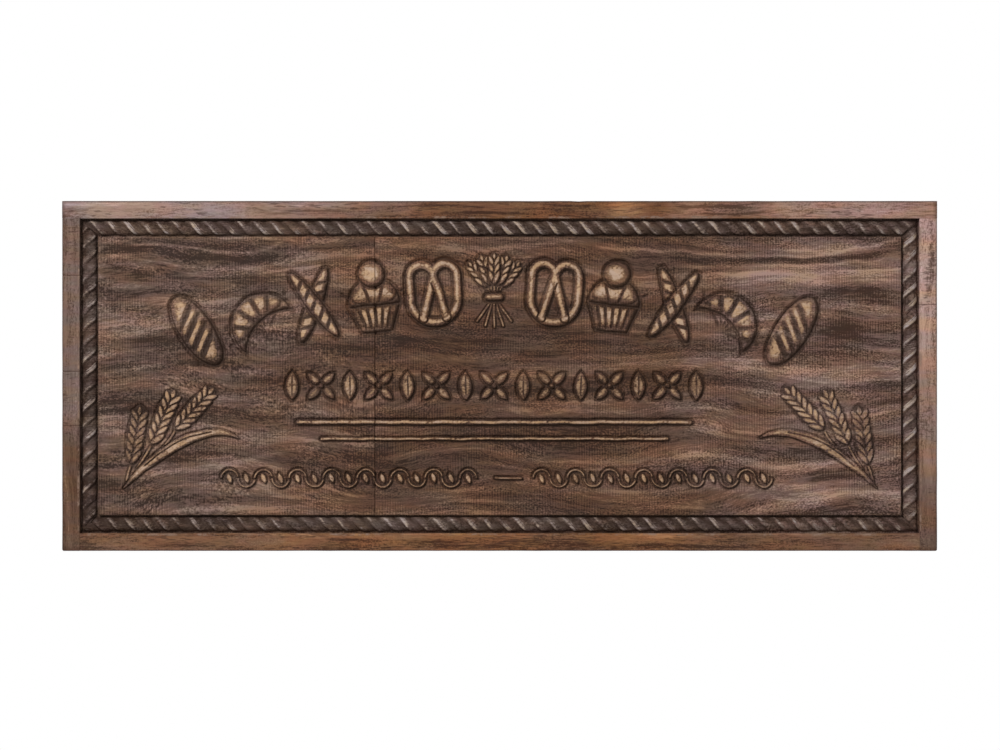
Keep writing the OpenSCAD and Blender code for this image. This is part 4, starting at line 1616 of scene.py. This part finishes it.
TOP_STREAKS = (
    Streak(-0.25, 12.0, ((-500, 190), (-478, 190))),
    Streak(0.4, 12.0, ((122, 190), (164, 190))),
    Streak(0.16, 14.0, ((392, 190), (450, 190))),
    Streak(-0.26, 1.7, ((205, 192), (250, 194), (290, 192))),
    Streak(-0.22, 1.5, ((218, 186), (260, 185), (304, 187))),
    Streak(-0.22, 1.6, ((-128, 193), (-70, 195), (-20, 193))),
    Streak(-0.26, 1.4, ((-60, 186), (-20, 187), (30, 185))),
    Streak(-0.26, 1.5, ((52, 195), (84, 194), (112, 195))),
    Streak(-0.24, 1.3, ((-240, 188), (-210, 189), (-180, 188))),
)
FOOT_STREAKS = (
    Streak(-0.2, 12.0, ((-500, -190), (-462, -190))),
    Streak(-0.16, 12.0, ((-225, -190), (-130, -190))),
    Streak(-0.18, 12.0, ((66, -190), (136, -190))),
    Streak(-0.26, 1.5, ((-212, -186), (-180, -187), (-146, -186))),
    Streak(-0.26, 1.6, ((-70, -194), (-30, -195), (10, -194))),
    Streak(-0.26, 1.5, ((44, -185), (76, -186), (108, -185))),
    Streak(-0.22, 1.4, ((-112, -189), (-90, -190), (-64, -189))),
    Streak(-0.22, 1.6, ((158, -194), (200, -195), (240, -193))),
    Streak(-0.28, 1.4, ((320, -188), (350, -189), (388, -188))),
    Streak(-0.26, 1.4, ((-390, -192), (-350, -193), (-320, -192))),
    Streak(-0.08, 12.0, ((240, -190), (460, -190))),
)


@dataclass
class CarvedPanel:
    """The panel of ten staves and what is carved on it, in millimetres."""

    plan: Plan
    cell: float = 0.68
    arris: tuple[Point, ...] = ((-0.9, 0.0), (-0.6, 0.06), (-0.32, 0.22), (-0.1, 0.5), (0.0, 0.9))
    joint: tuple[Point, ...] = ((-1.0, 0.0), (-0.62, 0.3), (-0.25, 0.6), (0.0, 1.2))
    joint_w: float = 2.0
    back_chamfer: float = 0.8
    highest: float = 1.42
    # How far the painted shadow round each form is drawn towards the lower right, in millimetres.
    shade: float = 1.0
    lowered: float = 0.12
    gouge: Wobble = Wobble(16, 6.0, 0.1, 9)
    uneven: Wobble = Wobble(11, 70.0, 0.10)
    ripple: Wobble = Wobble(12, 9.0, 0.035)
    drift: tuple[Wobble, Wobble] = (Wobble(13, 34.0, 0.35), Wobble(14, 30.0, 0.35))
    bend: Wobble = Wobble(15, 60.0, 1.2)
    forms: list[Form] = field(default_factory=lambda: Carving().lay_out())

    def build(self, finishes: dict[str, bpy.types.Material]) -> None:
        """Carve and dress every stave.

        Args:
            finishes: The materials by name.
        """
        for side in ("left", "right"):
            across, drop = self.columns(side)
            for row in range(1, self.plan.rows + 1):
                name = f"stave_{side}_{row}"
                piece = self.stave(f"carved_{name}", across, drop, *self.lines(row))
                wood = f"panel_{side}"
                Bench.dress(piece, (finishes[wood], finishes["raw"]), wood, [name], sharp=80)

    def steps(self, start: float, end: float) -> Values:
        """Step evenly from one place to another, by about a cell."""
        return np.linspace(start, end, max(2, round((end - start) / self.cell) + 1))

    def edge(self) -> tuple[Values, Values]:
        """Give the field's edge and the channel beyond it.

        Returns:
            The places beyond the field's edge and how far they lie below it.
        """
        channel = self.plan.floor - self.plan.field
        width = self.plan.inner_x - self.plan.field_x
        shape = (*self.arris, (0.0, channel), (width / 2, channel), (width, channel))
        return np.array([point[0] for point in shape]), np.array([point[1] for point in shape])

    def columns(self, side: str) -> tuple[Values, Values]:
        """Place the columns of one side's staves.

        Args:
            side: Left or right.

        Returns:
            The columns from left to right and how far the surface drops at each.
        """
        out, drop = self.edge()
        joint_out, joint_drop = (np.array(values) for values in zip(*self.joint))
        field_x, joint_x, clear, gap = self.plan.field_x, self.plan.joint_x, out[0], joint_out[0]
        if side == "left":
            inner = self.steps(-field_x - clear, joint_x + gap)[1:-1]
            places = (-field_x - out[::-1], inner, joint_x + joint_out)
            return np.concatenate(places), np.concatenate([drop[::-1], 0 * inner, joint_drop])
        inner = self.steps(joint_x - gap, field_x + clear)[1:-1]
        places = (joint_x - joint_out[::-1], inner, field_x + out)
        return np.concatenate(places), np.concatenate([joint_drop[::-1], 0 * inner, drop])

    def lines(self, row: int) -> tuple[Values, Values]:
        """Place the lines of one row of staves.

        Args:
            row: The row, counted from 1 at the bottom.

        Returns:
            The lines from the bottom up and how far the surface drops at each.
        """
        out, drop = self.edge()
        low = -self.plan.inner_z + (row - 1) * self.plan.stave_h
        high = low + self.plan.stave_h
        if row == 1:
            inner = self.steps(-self.plan.field_z - out[0], high)[1:]
            outer = -self.plan.field_z - out[::-1]
            return np.concatenate([outer, inner]), np.concatenate([drop[::-1], 0 * inner])
        if row == self.plan.rows:
            inner = self.steps(low, self.plan.field_z + out[0])[:-1]
            return np.concatenate([inner, self.plan.field_z + out]), np.concatenate([0 * inner, drop])
        inner = self.steps(low, high)
        return inner, 0 * inner

    def relief(self, across: Values, up: Values) -> Face:
        """Carve every form that lies within a window of the panel.

        Args:
            across: The window's columns.
            up: The window's lines.

        Returns:
            The carved face.
        """
        x, z = np.meshgrid(across, up)
        level = self.uneven.at(x, z) + self.ripple.at(x, z) - self.lowered
        face = Face(level, np.zeros(x.shape), np.zeros(x.shape))
        warped_x = x + self.drift[0].at(x, z)
        warped_z = z + self.drift[1].at(x, z)
        for form in self.forms:
            columns = slice(*np.searchsorted(across, (form.spot.x - form.reach, form.spot.x + form.reach)))
            rows = slice(*np.searchsorted(up, (form.spot.z - form.reach, form.spot.z + form.reach)))
            if columns.start >= columns.stop or rows.start >= rows.stop:
                continue
            window = (rows, columns)
            gaps = []
            # Each form is measured as it is, from the lit upper left for its painted highlight, and from the
            # shaded lower right for its painted shadow.
            for aside in (0.0, form.cut.highlight_shift, -self.shade):
                places = warped_x[window] + aside, warped_z[window] - aside
                gaps.append(form.shape(*form.spot.local(*places)))
            form.cut.carve(Gap(*gaps), Face(face.height[window], face.rub_and_highlight[window], face.dirt_and_shade[window]))
        gouged = self.gouge.at(x, z) * ease(face.rub_and_highlight, 0.3, 0.8)
        face.height[:] += gouged
        face.rub_and_highlight[:] *= 1 - 0.45 * ease(-gouged, -0.02, 0.16)
        return face

    def stave(self, name: str, across: Values, drop: Values, up: Values, fall: Values) -> bpy.types.Object:
        """Carve one stave out of a grid.

        Args:
            name: The piece's name.
            across: Its columns.
            drop: How far the surface drops at each column.
            up: Its lines.
            fall: How far the surface drops at each line.

        Returns:
            The stave.
        """
        piece, column, line = Bench.grid(name, len(across), len(up))
        face = self.relief(across, up)
        sunk = np.maximum(drop[None, :], fall[:, None])
        height = np.minimum(face.height, self.highest) * (sunk < 1) - sunk
        # The joints between staves are darkened, and so is the field's edge down into the channel, as painted
        # shade, a little less at the channel floor.
        dirt_and_shade = np.maximum(face.dirt_and_shade, ease(sunk, 0.2, 0.9) * (1 - 0.4 * ease(sunk, 1.5, 3.0)))
        worn = (np.abs(across - self.plan.joint_x) > self.joint_w) * 0.5
        rub_and_highlight = np.maximum(face.rub_and_highlight, worn * ease(sunk, 0.02, 0.1) * (1 - ease(sunk, 0.2, 0.6)))
        places = np.stack([across[column], self.plan.field - height[line, column], up[line]], axis=1)
        Bench.move(piece, places * MM)
        Bench.keep(piece, RUB_AND_HIGHLIGHT, rub_and_highlight[line, column])
        Bench.keep(piece, DIRT_AND_SHADE, dirt_and_shade[line, column])
        x, z = np.meshgrid(across, up)
        tone = 0.5 + sum(streak.at(x, z + self.bend.at(x)) for streak in STREAKS)
        Bench.keep(piece, TONE, tone[line, column])
        Bench.back_up(piece, self.plan.back * MM, self.back_chamfer * MM)
        self.bare_back(piece)
        for polygon in piece.data.polygons:
            polygon.material_index = int(polygon.normal.y > 0.5)
        return piece

    def bare_back(self, piece: bpy.types.Object) -> None:
        """Leave the back of a stave bare, with its chamfer darkened round it.

        Args:
            piece: The stave.
        """
        y = Bench.places(piece)[:, 1] / MM
        edge = self.plan.back - self.back_chamfer
        behind = y > edge - 0.1
        for name, value in ((RUB_AND_HIGHLIGHT, 0.0), (DIRT_AND_SHADE, 0.0), (TONE, 0.5)):
            data = piece.data.attributes[name].data
            values = np.empty(len(data), dtype=np.float32)
            data.foreach_get("value", values)
            values[behind] = value
            if name == DIRT_AND_SHADE:
                values[behind & (y < edge + 0.1)] = 0.9
            data.foreach_set("value", values)


@dataclass
class RopeMoulding:
    """The four mitred lengths of carved rope, in millimetres."""

    plan: Plan
    radius: float = 8.854
    pitch: float = 18.6
    lead: float = 6.9
    depth: float = 3.1
    ridge: float = 0.24
    length_cell: float = 0.62
    rows: int = 30
    lip: float = 0.1
    ply: float = 0.07
    plies: int = 4
    sway: Wobble = Wobble(31, 28.0, 0.55)
    swell: Wobble = Wobble(32, 17.0, 0.5)
    carved: Wobble = Wobble(33, 4.5, 0.12)
    catch: Wobble = Wobble(34, 26.0, 0.3)

    def build(self, finish: bpy.types.Material) -> None:
        """Carve and dress the four lengths.

        Args:
            finish: The rope's material.
        """
        half_x = (self.plan.inner_x + self.plan.field_x) / 2
        half_z = (self.plan.inner_z + self.plan.field_z) / 2
        # Each length gets its own tone and its own strength of rubbed highlight: the top and right lengths
        # are painted lighter and the bottom and left ones darker, as light and shade of their sides.
        sides = (
            ("rope_top", half_x, half_z, False, 1, 0.52, 0.98),
            ("rope_bottom", half_x, half_z, False, -1, 0.4, 0.8),
            ("rope_left", half_z, half_x, True, -1, 0.38, 0.74),
            ("rope_right", half_z, half_x, True, 1, 0.54, 1.06),
        )
        for name, half_length, offset, upright, side, tone, light in sides:
            piece = self.length(f"carved_{name}", half_length, offset, upright, side)
            Bench.keep(piece, TONE, np.full(len(piece.data.vertices), tone))
            for vertex in piece.data.attributes[RUB_AND_HIGHLIGHT].data:
                vertex.value *= light
            Bench.dress(piece, [finish], "rope", [name], sharp=75)

    def strand(self, turn: Values) -> Values:
        """Give a strand's section: a steep rise from the valley to its ridge, and a gentle fall from it.

        Args:
            turn: The place across the strands, in strands.

        Returns:
            The height from 0 in the valley to 1 on the ridge.
        """
        share = turn - np.floor(turn)
        rise = np.sin(np.clip(share / self.ridge, 0, 1) * math.pi / 2) ** 0.8
        down = np.clip((share - self.ridge) / (1 - self.ridge), 0, 1)
        fall = 1 - down**1.8 + self.ply * np.sin(math.tau * self.plies * down) * (1 - down)
        return np.where(share < self.ridge, rise, np.clip(fall, 0, 1))

    def length(
        self, name: str, half_length: float, offset: float, upright: bool, side: int
    ) -> bpy.types.Object:
        """Carve one length of rope out of a grid.

        Args:
            name: The piece's name.
            half_length: The distance from its middle to the crossing of the ropes' middle lines.
            offset: The distance of its middle line from the sign's centre.
            upright: Whether it stands upright.
            side: Which side of the sign it is on, -1 or 1.

        Returns:
            The length of rope.
        """
        columns = round(2 * half_length / self.length_cell) + 1
        piece, column, row = Bench.grid(name, columns, self.rows)
        centre_y = self.plan.floor - self.plan.rope_h + self.radius
        half_turn = math.acos((centre_y - self.plan.floor) / self.radius)
        angle = -half_turn + 2 * half_turn * row / (self.rows - 1)
        along_share = 2 * column / (columns - 1) - 1
        aside = self.radius * np.sin(angle)
        along = (half_length + side * aside) * along_share
        lead = -self.lead if upright else self.lead
        turns = (along + lead * angle + self.sway.at(along)) / self.pitch
        high = self.strand(turns)
        fade = np.cos(angle * math.pi / 2 / half_turn) ** 0.5
        cut = (self.depth + self.swell.at(along, aside)) * (1 - high) * np.clip(fade, 0, 1)
        reach = self.radius - np.clip(cut, 0, None) - np.abs(self.carved.at(along, aside)) * fade
        rim = np.abs(angle) > half_turn * 0.999
        lowest = self.plan.floor - self.lip
        out = np.where(rim, lowest, np.minimum(centre_y - reach * np.cos(angle), lowest))
        across = side * offset + np.where(rim, self.radius, reach) * np.sin(angle)
        flat = (across, out, along) if upright else (along, out, across)
        Bench.move(piece, np.stack(flat, axis=1) * MM)
        mitre = 1 - ease(half_length + side * aside - np.abs(along), 0.2, 3.0)
        ridge = ease(high, 0.78, 0.99) * ease(np.cos(angle), 0.2, 0.7)
        Bench.keep(piece, RUB_AND_HIGHLIGHT, ridge * (1 - mitre) * (0.74 + self.catch.at(along, aside * 0.5)))
        # The valleys between strands are darkened, partly grime in the grooves and partly painted shade, and
        # the rope's long sides are darkened as painted shadow from the channel walls; the upright lengths get
        # less of both, where the lamps already shade them.
        valley = 1 - ease(high, 0.3, 0.9)
        sides = 1 - ease(np.cos(angle), 0.1, 0.55)
        packed, filled = (0.34, 0.58) if upright else (0.75, 0.78)
        Bench.keep(piece, DIRT_AND_SHADE, np.maximum.reduce([valley * filled, sides * packed, mitre]))
        Bench.back_up(piece, self.plan.floor * MM)
        return piece


@dataclass(frozen=True)
class Board:
    """One board of the edging: its CAD node, the way it lies, the cracks across it and its streaks."""

    node: str
    along: Along
    side: int
    cracks: tuple[float, ...] = ()
    streaks: tuple[Streak, ...] = ()


@dataclass
class Edging:
    """The four half-lapped boards round the panel, in millimetres."""

    plan: Plan
    arris: float = 1.0
    corner: float = 2.0
    crack: float = 0.9
    station: float = 3.0
    lines: tuple[float, ...] = (1.8, 4.0, 7.0, 10.5, 14.0, 18.0)
    rub_w: float = 3.0
    worn: Wobble = Wobble(21, 55.0, 0.22)
    nicked: Wobble = Wobble(22, 11.0, 0.5)
    flat: Wobble = Wobble(23, 38.0, 0.12)
    boards: tuple[Board, ...] = (
        Board("top_rail", Along.LENGTH, 1, streaks=TOP_STREAKS),
        Board("bottom_rail", Along.LENGTH, -1, streaks=FOOT_STREAKS),
        Board("left_stile", Along.HEIGHT, -1, (115.0, 5.2, -56.7)),
        Board("right_stile", Along.HEIGHT, 1, (81.8,)),
    )

    def build(self, finishes: dict[str, bpy.types.Material]) -> None:
        """Shape and dress the four boards.

        Args:
            finishes: The materials by name.
        """
        for board in self.boards:
            piece = self.shape(board)
            self.wear(piece, board)
            place = board.node.split("_")[0]
            Bench.dress(piece, [finishes[f"edging_{place}"]], f"edging_{place}", [board.node], sharp=60)

    def shape(self, board: Board) -> bpy.types.Object:
        """Shape one board with its half laps.

        Args:
            board: The board.

        Returns:
            Its piece.
        """
        plan = self.plan
        lying = board.along is Along.LENGTH
        run, out, inn = (0, 2, plan.inner_z) if lying else (2, 0, plan.inner_x)
        half, outer = (plan.inner_x, plan.half_h) if lying else (plan.inner_z, plan.half_w)
        lap = outer - inn
        low, high = [0.0, plan.face, 0.0], [0.0, -plan.face, 0.0]
        low[run], high[run] = -half, half
        low[out], high[out] = sorted((board.side * inn, board.side * outer))
        piece = Bench.block(f"worn_{board.node}", Vector(low) * MM, Vector(high) * MM)
        across, along = Vector((0, 0, 0)), Vector((0, 0, 0))
        across[out], along[run] = 1, 1
        self.pick_long(piece, run, half * MM)
        bpy.ops.mesh.subdivide(number_cuts=round(2 * half / self.station) - 1)
        bpy.ops.object.mode_set(mode="OBJECT")
        for place in board.cracks:
            for beside in (-self.crack, 0.0, self.crack):
                self.slice(piece, along * (place + beside) * MM, along)
        for inset in self.lines:
            self.slice(piece, across * board.side * (inn + inset) * MM, across)
        self.slice(piece, Vector((0, 0, 0)), Vector((0, 1, 0)))
        for front in (True, False):
            for end in (-1, 1):
                grows = self.laps(board, front, end)
                if not grows:
                    continue
                self.lengthen(piece, run, end * half * MM, front, end * lap * MM)
        Bench.pick(piece, "EDGE", lambda point: self.is_corner(point / MM, run, half + lap, out, outer))
        bpy.ops.mesh.bevel(offset=self.corner * MM, segments=4, affect="EDGES")
        bpy.ops.object.mode_set(mode="OBJECT")
        return piece

    @staticmethod
    def pick_long(piece: bpy.types.Object, run: int, length: float) -> None:
        """Select a block's long edges, and stay in edit mode.

        Args:
            piece: The block.
            run: The axis that they run along.
            length: What an edge has to be longer than.
        """
        Bench.hold(piece)
        for edge in piece.data.edges:
            start, end = (piece.data.vertices[v].co[run] for v in edge.vertices)
            edge.select = abs(start - end) > length
        for polygon in piece.data.polygons:
            polygon.select = False
        bpy.ops.object.mode_set(mode="EDIT")
        bpy.ops.mesh.select_mode(type="EDGE")

    @staticmethod
    def is_corner(point: Vector, run: int, end: float, out: int, outer: float) -> bool:
        """Say whether a point is on an outer corner, within a hundredth of a millimetre."""
        return abs(abs(point[run]) - end) < 0.01 and abs(abs(point[out]) - outer) < 0.01

    @staticmethod
    def laps(board: Board, front: bool, end: int) -> bool:
        """Say whether a half of a board runs on through a corner.

        Args:
            board: The board.
            front: Whether this is its front half.
            end: Which end, -1 or 1.

        Returns:
            Whether it runs on.
        """
        if board.along is Along.LENGTH:
            return front is (board.side > 0)
        return front is (end < 0)

    @staticmethod
    def slice(piece: bpy.types.Object, place: Vector, normal: Vector) -> None:
        """Cut a line round a piece.

        Args:
            piece: The piece.
            place: A point on the plane of the cut.
            normal: The direction across that plane.
        """
        Bench.pick(piece, "FACE", lambda point: True)
        bpy.ops.mesh.bisect(plane_co=place, plane_no=normal)
        bpy.ops.object.mode_set(mode="OBJECT")

    def lengthen(self, piece: bpy.types.Object, run: int, level: float, front: bool, lap: float) -> None:
        """Draw one half of an end out over the corner.

        Args:
            piece: The board.
            run: The axis that it runs along.
            level: Where the end is.
            front: Whether the front half is drawn out.
            lap: How far it is drawn out.
        """
        near = 1e-5
        turn = -1 if front else 1

        def at_end(point: Vector) -> bool:
            """Say whether a point is on this half of the end."""
            return abs(point[run] - level) < near and point.y * turn > -near

        Bench.pick(piece, "FACE", at_end)
        move = Vector((0, 0, 0))
        pieces = 4
        move[run] = lap / pieces
        for _ in range(pieces):
            bpy.ops.mesh.extrude_region_move(TRANSFORM_OT_translate={"value": move})
        bpy.ops.object.mode_set(mode="OBJECT")

    def wear(self, piece: bpy.types.Object, board: Board) -> None:
        """Round a board's edges, wear it unevenly, and mark what is rubbed and what is darkened, with painted
        shade on its inner wall.

        Args:
            piece: The board.
            board: Which board it is.
        """
        Bench.round_off(piece, self.arris * MM)
        plan = self.plan
        places = Bench.places(piece) / MM
        lying = board.along is Along.LENGTH
        run, out = (places[:, 0], places[:, 2]) if lying else (places[:, 2], places[:, 0])
        inn, outer = (plan.inner_z, plan.half_h) if lying else (plan.inner_x, plan.half_w)
        opening, end = (plan.inner_x, plan.half_w) if lying else (plan.inner_z, plan.half_h)
        depth = board.side * out - inn
        width = outer - inn
        seed = 40.0 * (board.side + 2) + (500.0 if lying else 0.0)
        outer_share = ease(depth, width * 0.55, width)
        inner_share = ease(-depth, -width * 0.45, 0)
        front_share = ease(-places[:, 1], 10.0, 16.0)
        worn = np.abs(self.worn.at(run, seed)) + 0.12
        nick = ease(self.nicked.at(run, seed), 0.75, 1.3) * 0.5
        dip = (worn * 0.8 + nick) * front_share
        out -= board.side * (worn * 0.5 + nick * front_share) * outer_share
        out += board.side * worn * 0.35 * inner_share
        bulk = np.abs(self.flat.at(run, out + seed))
        cracked = sum((np.abs(run - place) < self.crack / 2) * 1.0 for place in board.cracks) * front_share
        bulk += 0.4 * cracked
        bulk += dip * np.maximum(outer_share, inner_share) * 0.6
        places[:, 1] += np.where(places[:, 1] < 0, 1, -1) * bulk
        places[:, 0] = np.clip(places[:, 0], -plan.half_w, plan.half_w)
        Bench.move(piece, places * MM)
        broken = 0.55 + 0.45 * ease(self.worn.at(run * 2.3, seed + 9), -0.25, 0.25)
        inner_band = 0.5 * (1 - ease(depth, self.rub_w * 0.5, self.rub_w * 1.4))
        inner_band *= 1 - ease(np.abs(run), opening - 4.0, opening)
        outer_band = 0.25 * ease(depth, width - 4.0, width - 2.0)
        faces_front = ease(-places[:, 1], 12.5, 15.0)
        Bench.keep(piece, RUB_AND_HIGHLIGHT, (inner_band * broken + outer_band) * faces_front)
        # The inner wall that drops into the rope's channel is darkened as painted shade; the outer sides and
        # ends are darkened, and the cracks are dark.
        inner_wall = (1 - ease(depth, -0.2, 0.9)) * (1 - ease(-places[:, 1], 12.5, 15.2))
        beside, ends = ease(depth, width - 2.2, width - 0.9), ease(np.abs(run), end - 2.2, end - 0.9)
        outer_wall = 0.85 * np.maximum(beside, ends)
        Bench.keep(piece, DIRT_AND_SHADE, np.maximum.reduce([inner_wall, outer_wall, cracked]))
        tone = sum(streak.at(places[:, 0], places[:, 2]) for streak in board.streaks)
        Bench.keep(piece, TONE, 0.5 + tone * front_share)


@dataclass(frozen=True)
class Metal:
    """Plated steel or brass, with cloudy plating, fine scratches and dull spots."""

    name: str
    bright: Colour
    dull: Colour
    roughness: float
    spot_cover: float = 0.4

    def material(self) -> bpy.types.Material:
        """Lay out the metal's nodes.

        Returns:
            The material.
        """
        made, graph, shader = new_material(self.name)
        place = graph.add("TexCoord").outputs["Object"]
        clouds = graph.noise(graph.cells(place, (0.011, 0.011, 0.011)), 3.0, 0.6)
        spots = graph.noise(graph.cells(place, (0.0016, 0.0016, 0.0016), 4.4), 3.0, 0.6)
        scratches = graph.noise(graph.cells(place, (0.0003, 0.003, 0.012), 1.7), 2.0, 0.6)
        dull = graph.spread(spots, 0.72 - 0.2 * self.spot_cover, 0.8 - 0.2 * self.spot_cover)
        dull = graph.math("MAXIMUM", dull, graph.spread(clouds, 0.5, 0.75, 0.0, 0.5))
        colour = graph.mix(dull, self.bright, self.dull)
        rough = graph.math("ADD", self.roughness, graph.math("MULTIPLY", dull, 0.25))
        rough = graph.math("ADD", rough, graph.spread(scratches, 0.45, 0.7, -0.05, 0.1))
        height = graph.math("ADD", spots, graph.math("MULTIPLY", scratches, 0.6))
        bump = graph.add("Bump", {"Strength": 0.35, "Distance": 0.08 * MM, "Height": height})
        looks = {"Base Color": colour, "Metallic": 1.0, "Roughness": rough}
        graph.fill(shader, {**looks, "Normal": bump.outputs[0]})
        return made


class Hardware:
    """The battens, screws, straps and rings on the back, whose CAD shapes stay and are given their finish."""

    FINISHES = {
        "batten_left": "pine",
        "batten_joint": "pine",
        "batten_right": "pine",
        "batten_screws": "brass",
        "hanger_strap_left": "zinc",
        "hanger_strap_right": "zinc",
        "hanger_screws": "zinc",
        "hanger_ring_left": "ring_steel",
        "hanger_ring_right": "ring_steel",
    }

    def build(self, finishes: dict[str, bpy.types.Material]) -> None:
        """Give every node its finish.

        Args:
            finishes: The materials by name.
        """
        for node, finish in self.FINISHES.items():
            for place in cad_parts[node].material_slots:
                place.material = finishes[finish]
            LOG.info("%s: %s", node, finish)


def make_finishes(effects: Effects) -> dict[str, bpy.types.Material]:
    """Make every finish of the sign.

    Args:
        effects: The shared effects.

    Returns:
        The materials by name.
    """
    gold, ochre = stain(186, 158, 134), stain(134, 104, 78)
    tan, brown = stain(160, 136, 122), stain(128, 104, 90)
    grime_and_shade, groove = stain(50, 36, 28), stain(58, 43, 35)
    deal_dirt = stain(120, 84, 52)
    walnut_left = Palette(stain(48, 34, 27), stain(95, 75, 65), stain(142, 118, 105))
    walnut_middle = Palette(stain(44, 29, 21), stain(88, 65, 52), stain(130, 101, 83))
    walnut_right = Palette(stain(54, 38, 31), stain(112, 89, 80), stain(162, 136, 123))
    rail_left = Palette(stain(101, 79, 72), stain(147, 127, 123), stain(172, 153, 150))
    rail_middle = Palette(stain(56, 33, 20), stain(111, 77, 53), stain(155, 113, 79))
    rail_right = Palette(stain(104, 78, 64), stain(162, 130, 118), stain(190, 163, 153))
    foot_rail = Palette(stain(60, 36, 21), stain(124, 87, 60), stain(158, 118, 85))
    foot_end = Palette(stain(62, 42, 30), stain(115, 85, 66), stain(144, 112, 90))
    left_foot = Palette(stain(58, 40, 29), stain(94, 71, 57), stain(122, 97, 80))
    left_stile = Palette(stain(68, 50, 41), stain(111, 92, 84), stain(140, 119, 110))
    right_foot = Palette(stain(60, 43, 35), stain(103, 79, 67), stain(132, 106, 90))
    right_stile = Palette(stain(92, 69, 56), stain(146, 120, 108), stain(176, 149, 138))
    right_head = Palette(stain(108, 82, 70), stain(177, 147, 136), stain(206, 178, 168))
    cord = Palette(stain(46, 33, 27), stain(84, 69, 62), stain(118, 101, 93))
    cord_light = Palette(stain(52, 38, 31), stain(98, 79, 72), stain(136, 116, 108))
    raw = Palette(stain(112, 85, 66), stain(150, 120, 95), stain(178, 149, 124))
    deal = Palette(stain(158, 120, 80), stain(206, 172, 128), stain(228, 202, 164))
    edge = {"rubbed": tan, "glaze": brown, "grime_and_shade": stain(58, 36, 27)}
    by_joint = (-0.5, -0.4, -0.3, -0.16)
    carved = {"rubbed": gold, "glaze": ochre, "grime_and_shade": grime_and_shade, "drawn": True, "rub_wear": 0.45}
    worn_cord = {"rubbed": stain(172, 158, 151), "glaze": stain(100, 84, 77), "grime_and_shade": groove, "drawn": True}
    worn_cord.update(figure=0.3, pore_cover=0.2, saw=0.0, rub_wear=0.5)
    tick = {"grain": Along.HEIGHT, "zone_drift": 0.1, "speckle": 0.3, "saw": 0.0}
    tick.update(pore_cover=0.56, pore_length=0.0016, pore_width=0.007, pore_depth=0.55)
    foot = {"shift": 1.3, "pore_cover": 0.5, "streak": 0.36, **edge}
    left = {"zones_at": (-0.09, -0.03, 0.1, 0.2), "shift": 2.1, **tick, **edge}
    right = {"zones_at": (-0.17, -0.05, -0.01, 0.07), "shift": 3.7, **tick, **edge}
    pine = {"grain": Along.HEIGHT, "band": 0.012, "pore_cover": 0.1, "hue": 0.25}
    woods = (
        EdgingWood("edging_top", rail_left, rail_middle, rail_right, **edge),
        EdgingWood("edging_bottom", foot_end, foot_rail, foot_end, **foot),
        EdgingWood("edging_left", left_foot, left_stile, left_stile, **left),
        EdgingWood("edging_right", right_foot, right_stile, right_head, **right),
        StainedWood("panel_left", walnut_left, walnut_left, walnut_middle, zones_at=by_joint, **carved),
        StainedWood("panel_right", walnut_middle, walnut_middle, walnut_right, shift=0.8, **carved),
        StainedWood("rope", cord, cord, cord_light, **worn_cord),
        StainedWood("raw", raw, raw, raw, tan, brown, grime_and_shade, saw=0.4),
        StainedWood("pine", deal, deal, deal, tan, tan, deal_dirt, **pine),
    )
    metals = (
        Metal("brass", stain(190, 160, 108), stain(138, 112, 70), 0.38),
        Metal("zinc", stain(196, 198, 200), stain(142, 144, 146), 0.34),
        Metal("ring_steel", stain(204, 205, 206), stain(150, 151, 152), 0.24),
    )
    made = {wood.name: wood.material(effects) for wood in woods}
    made.update({metal.name: metal.material() for metal in metals})
    return made


def main() -> None:
    """Build the sign piece by piece."""
    logging.basicConfig(level=logging.INFO, format="%(message)s")
    Studio().build()
    finishes = make_finishes(Effects())
    plan = Plan.from_frame()
    LOG.info("%s", plan)
    CarvedPanel(plan).build(finishes)
    RopeMoulding(plan).build(finishes["rope"])
    Edging(plan).build(finishes)
    Hardware().build(finishes)


if __name__ == "__main__":
    main()
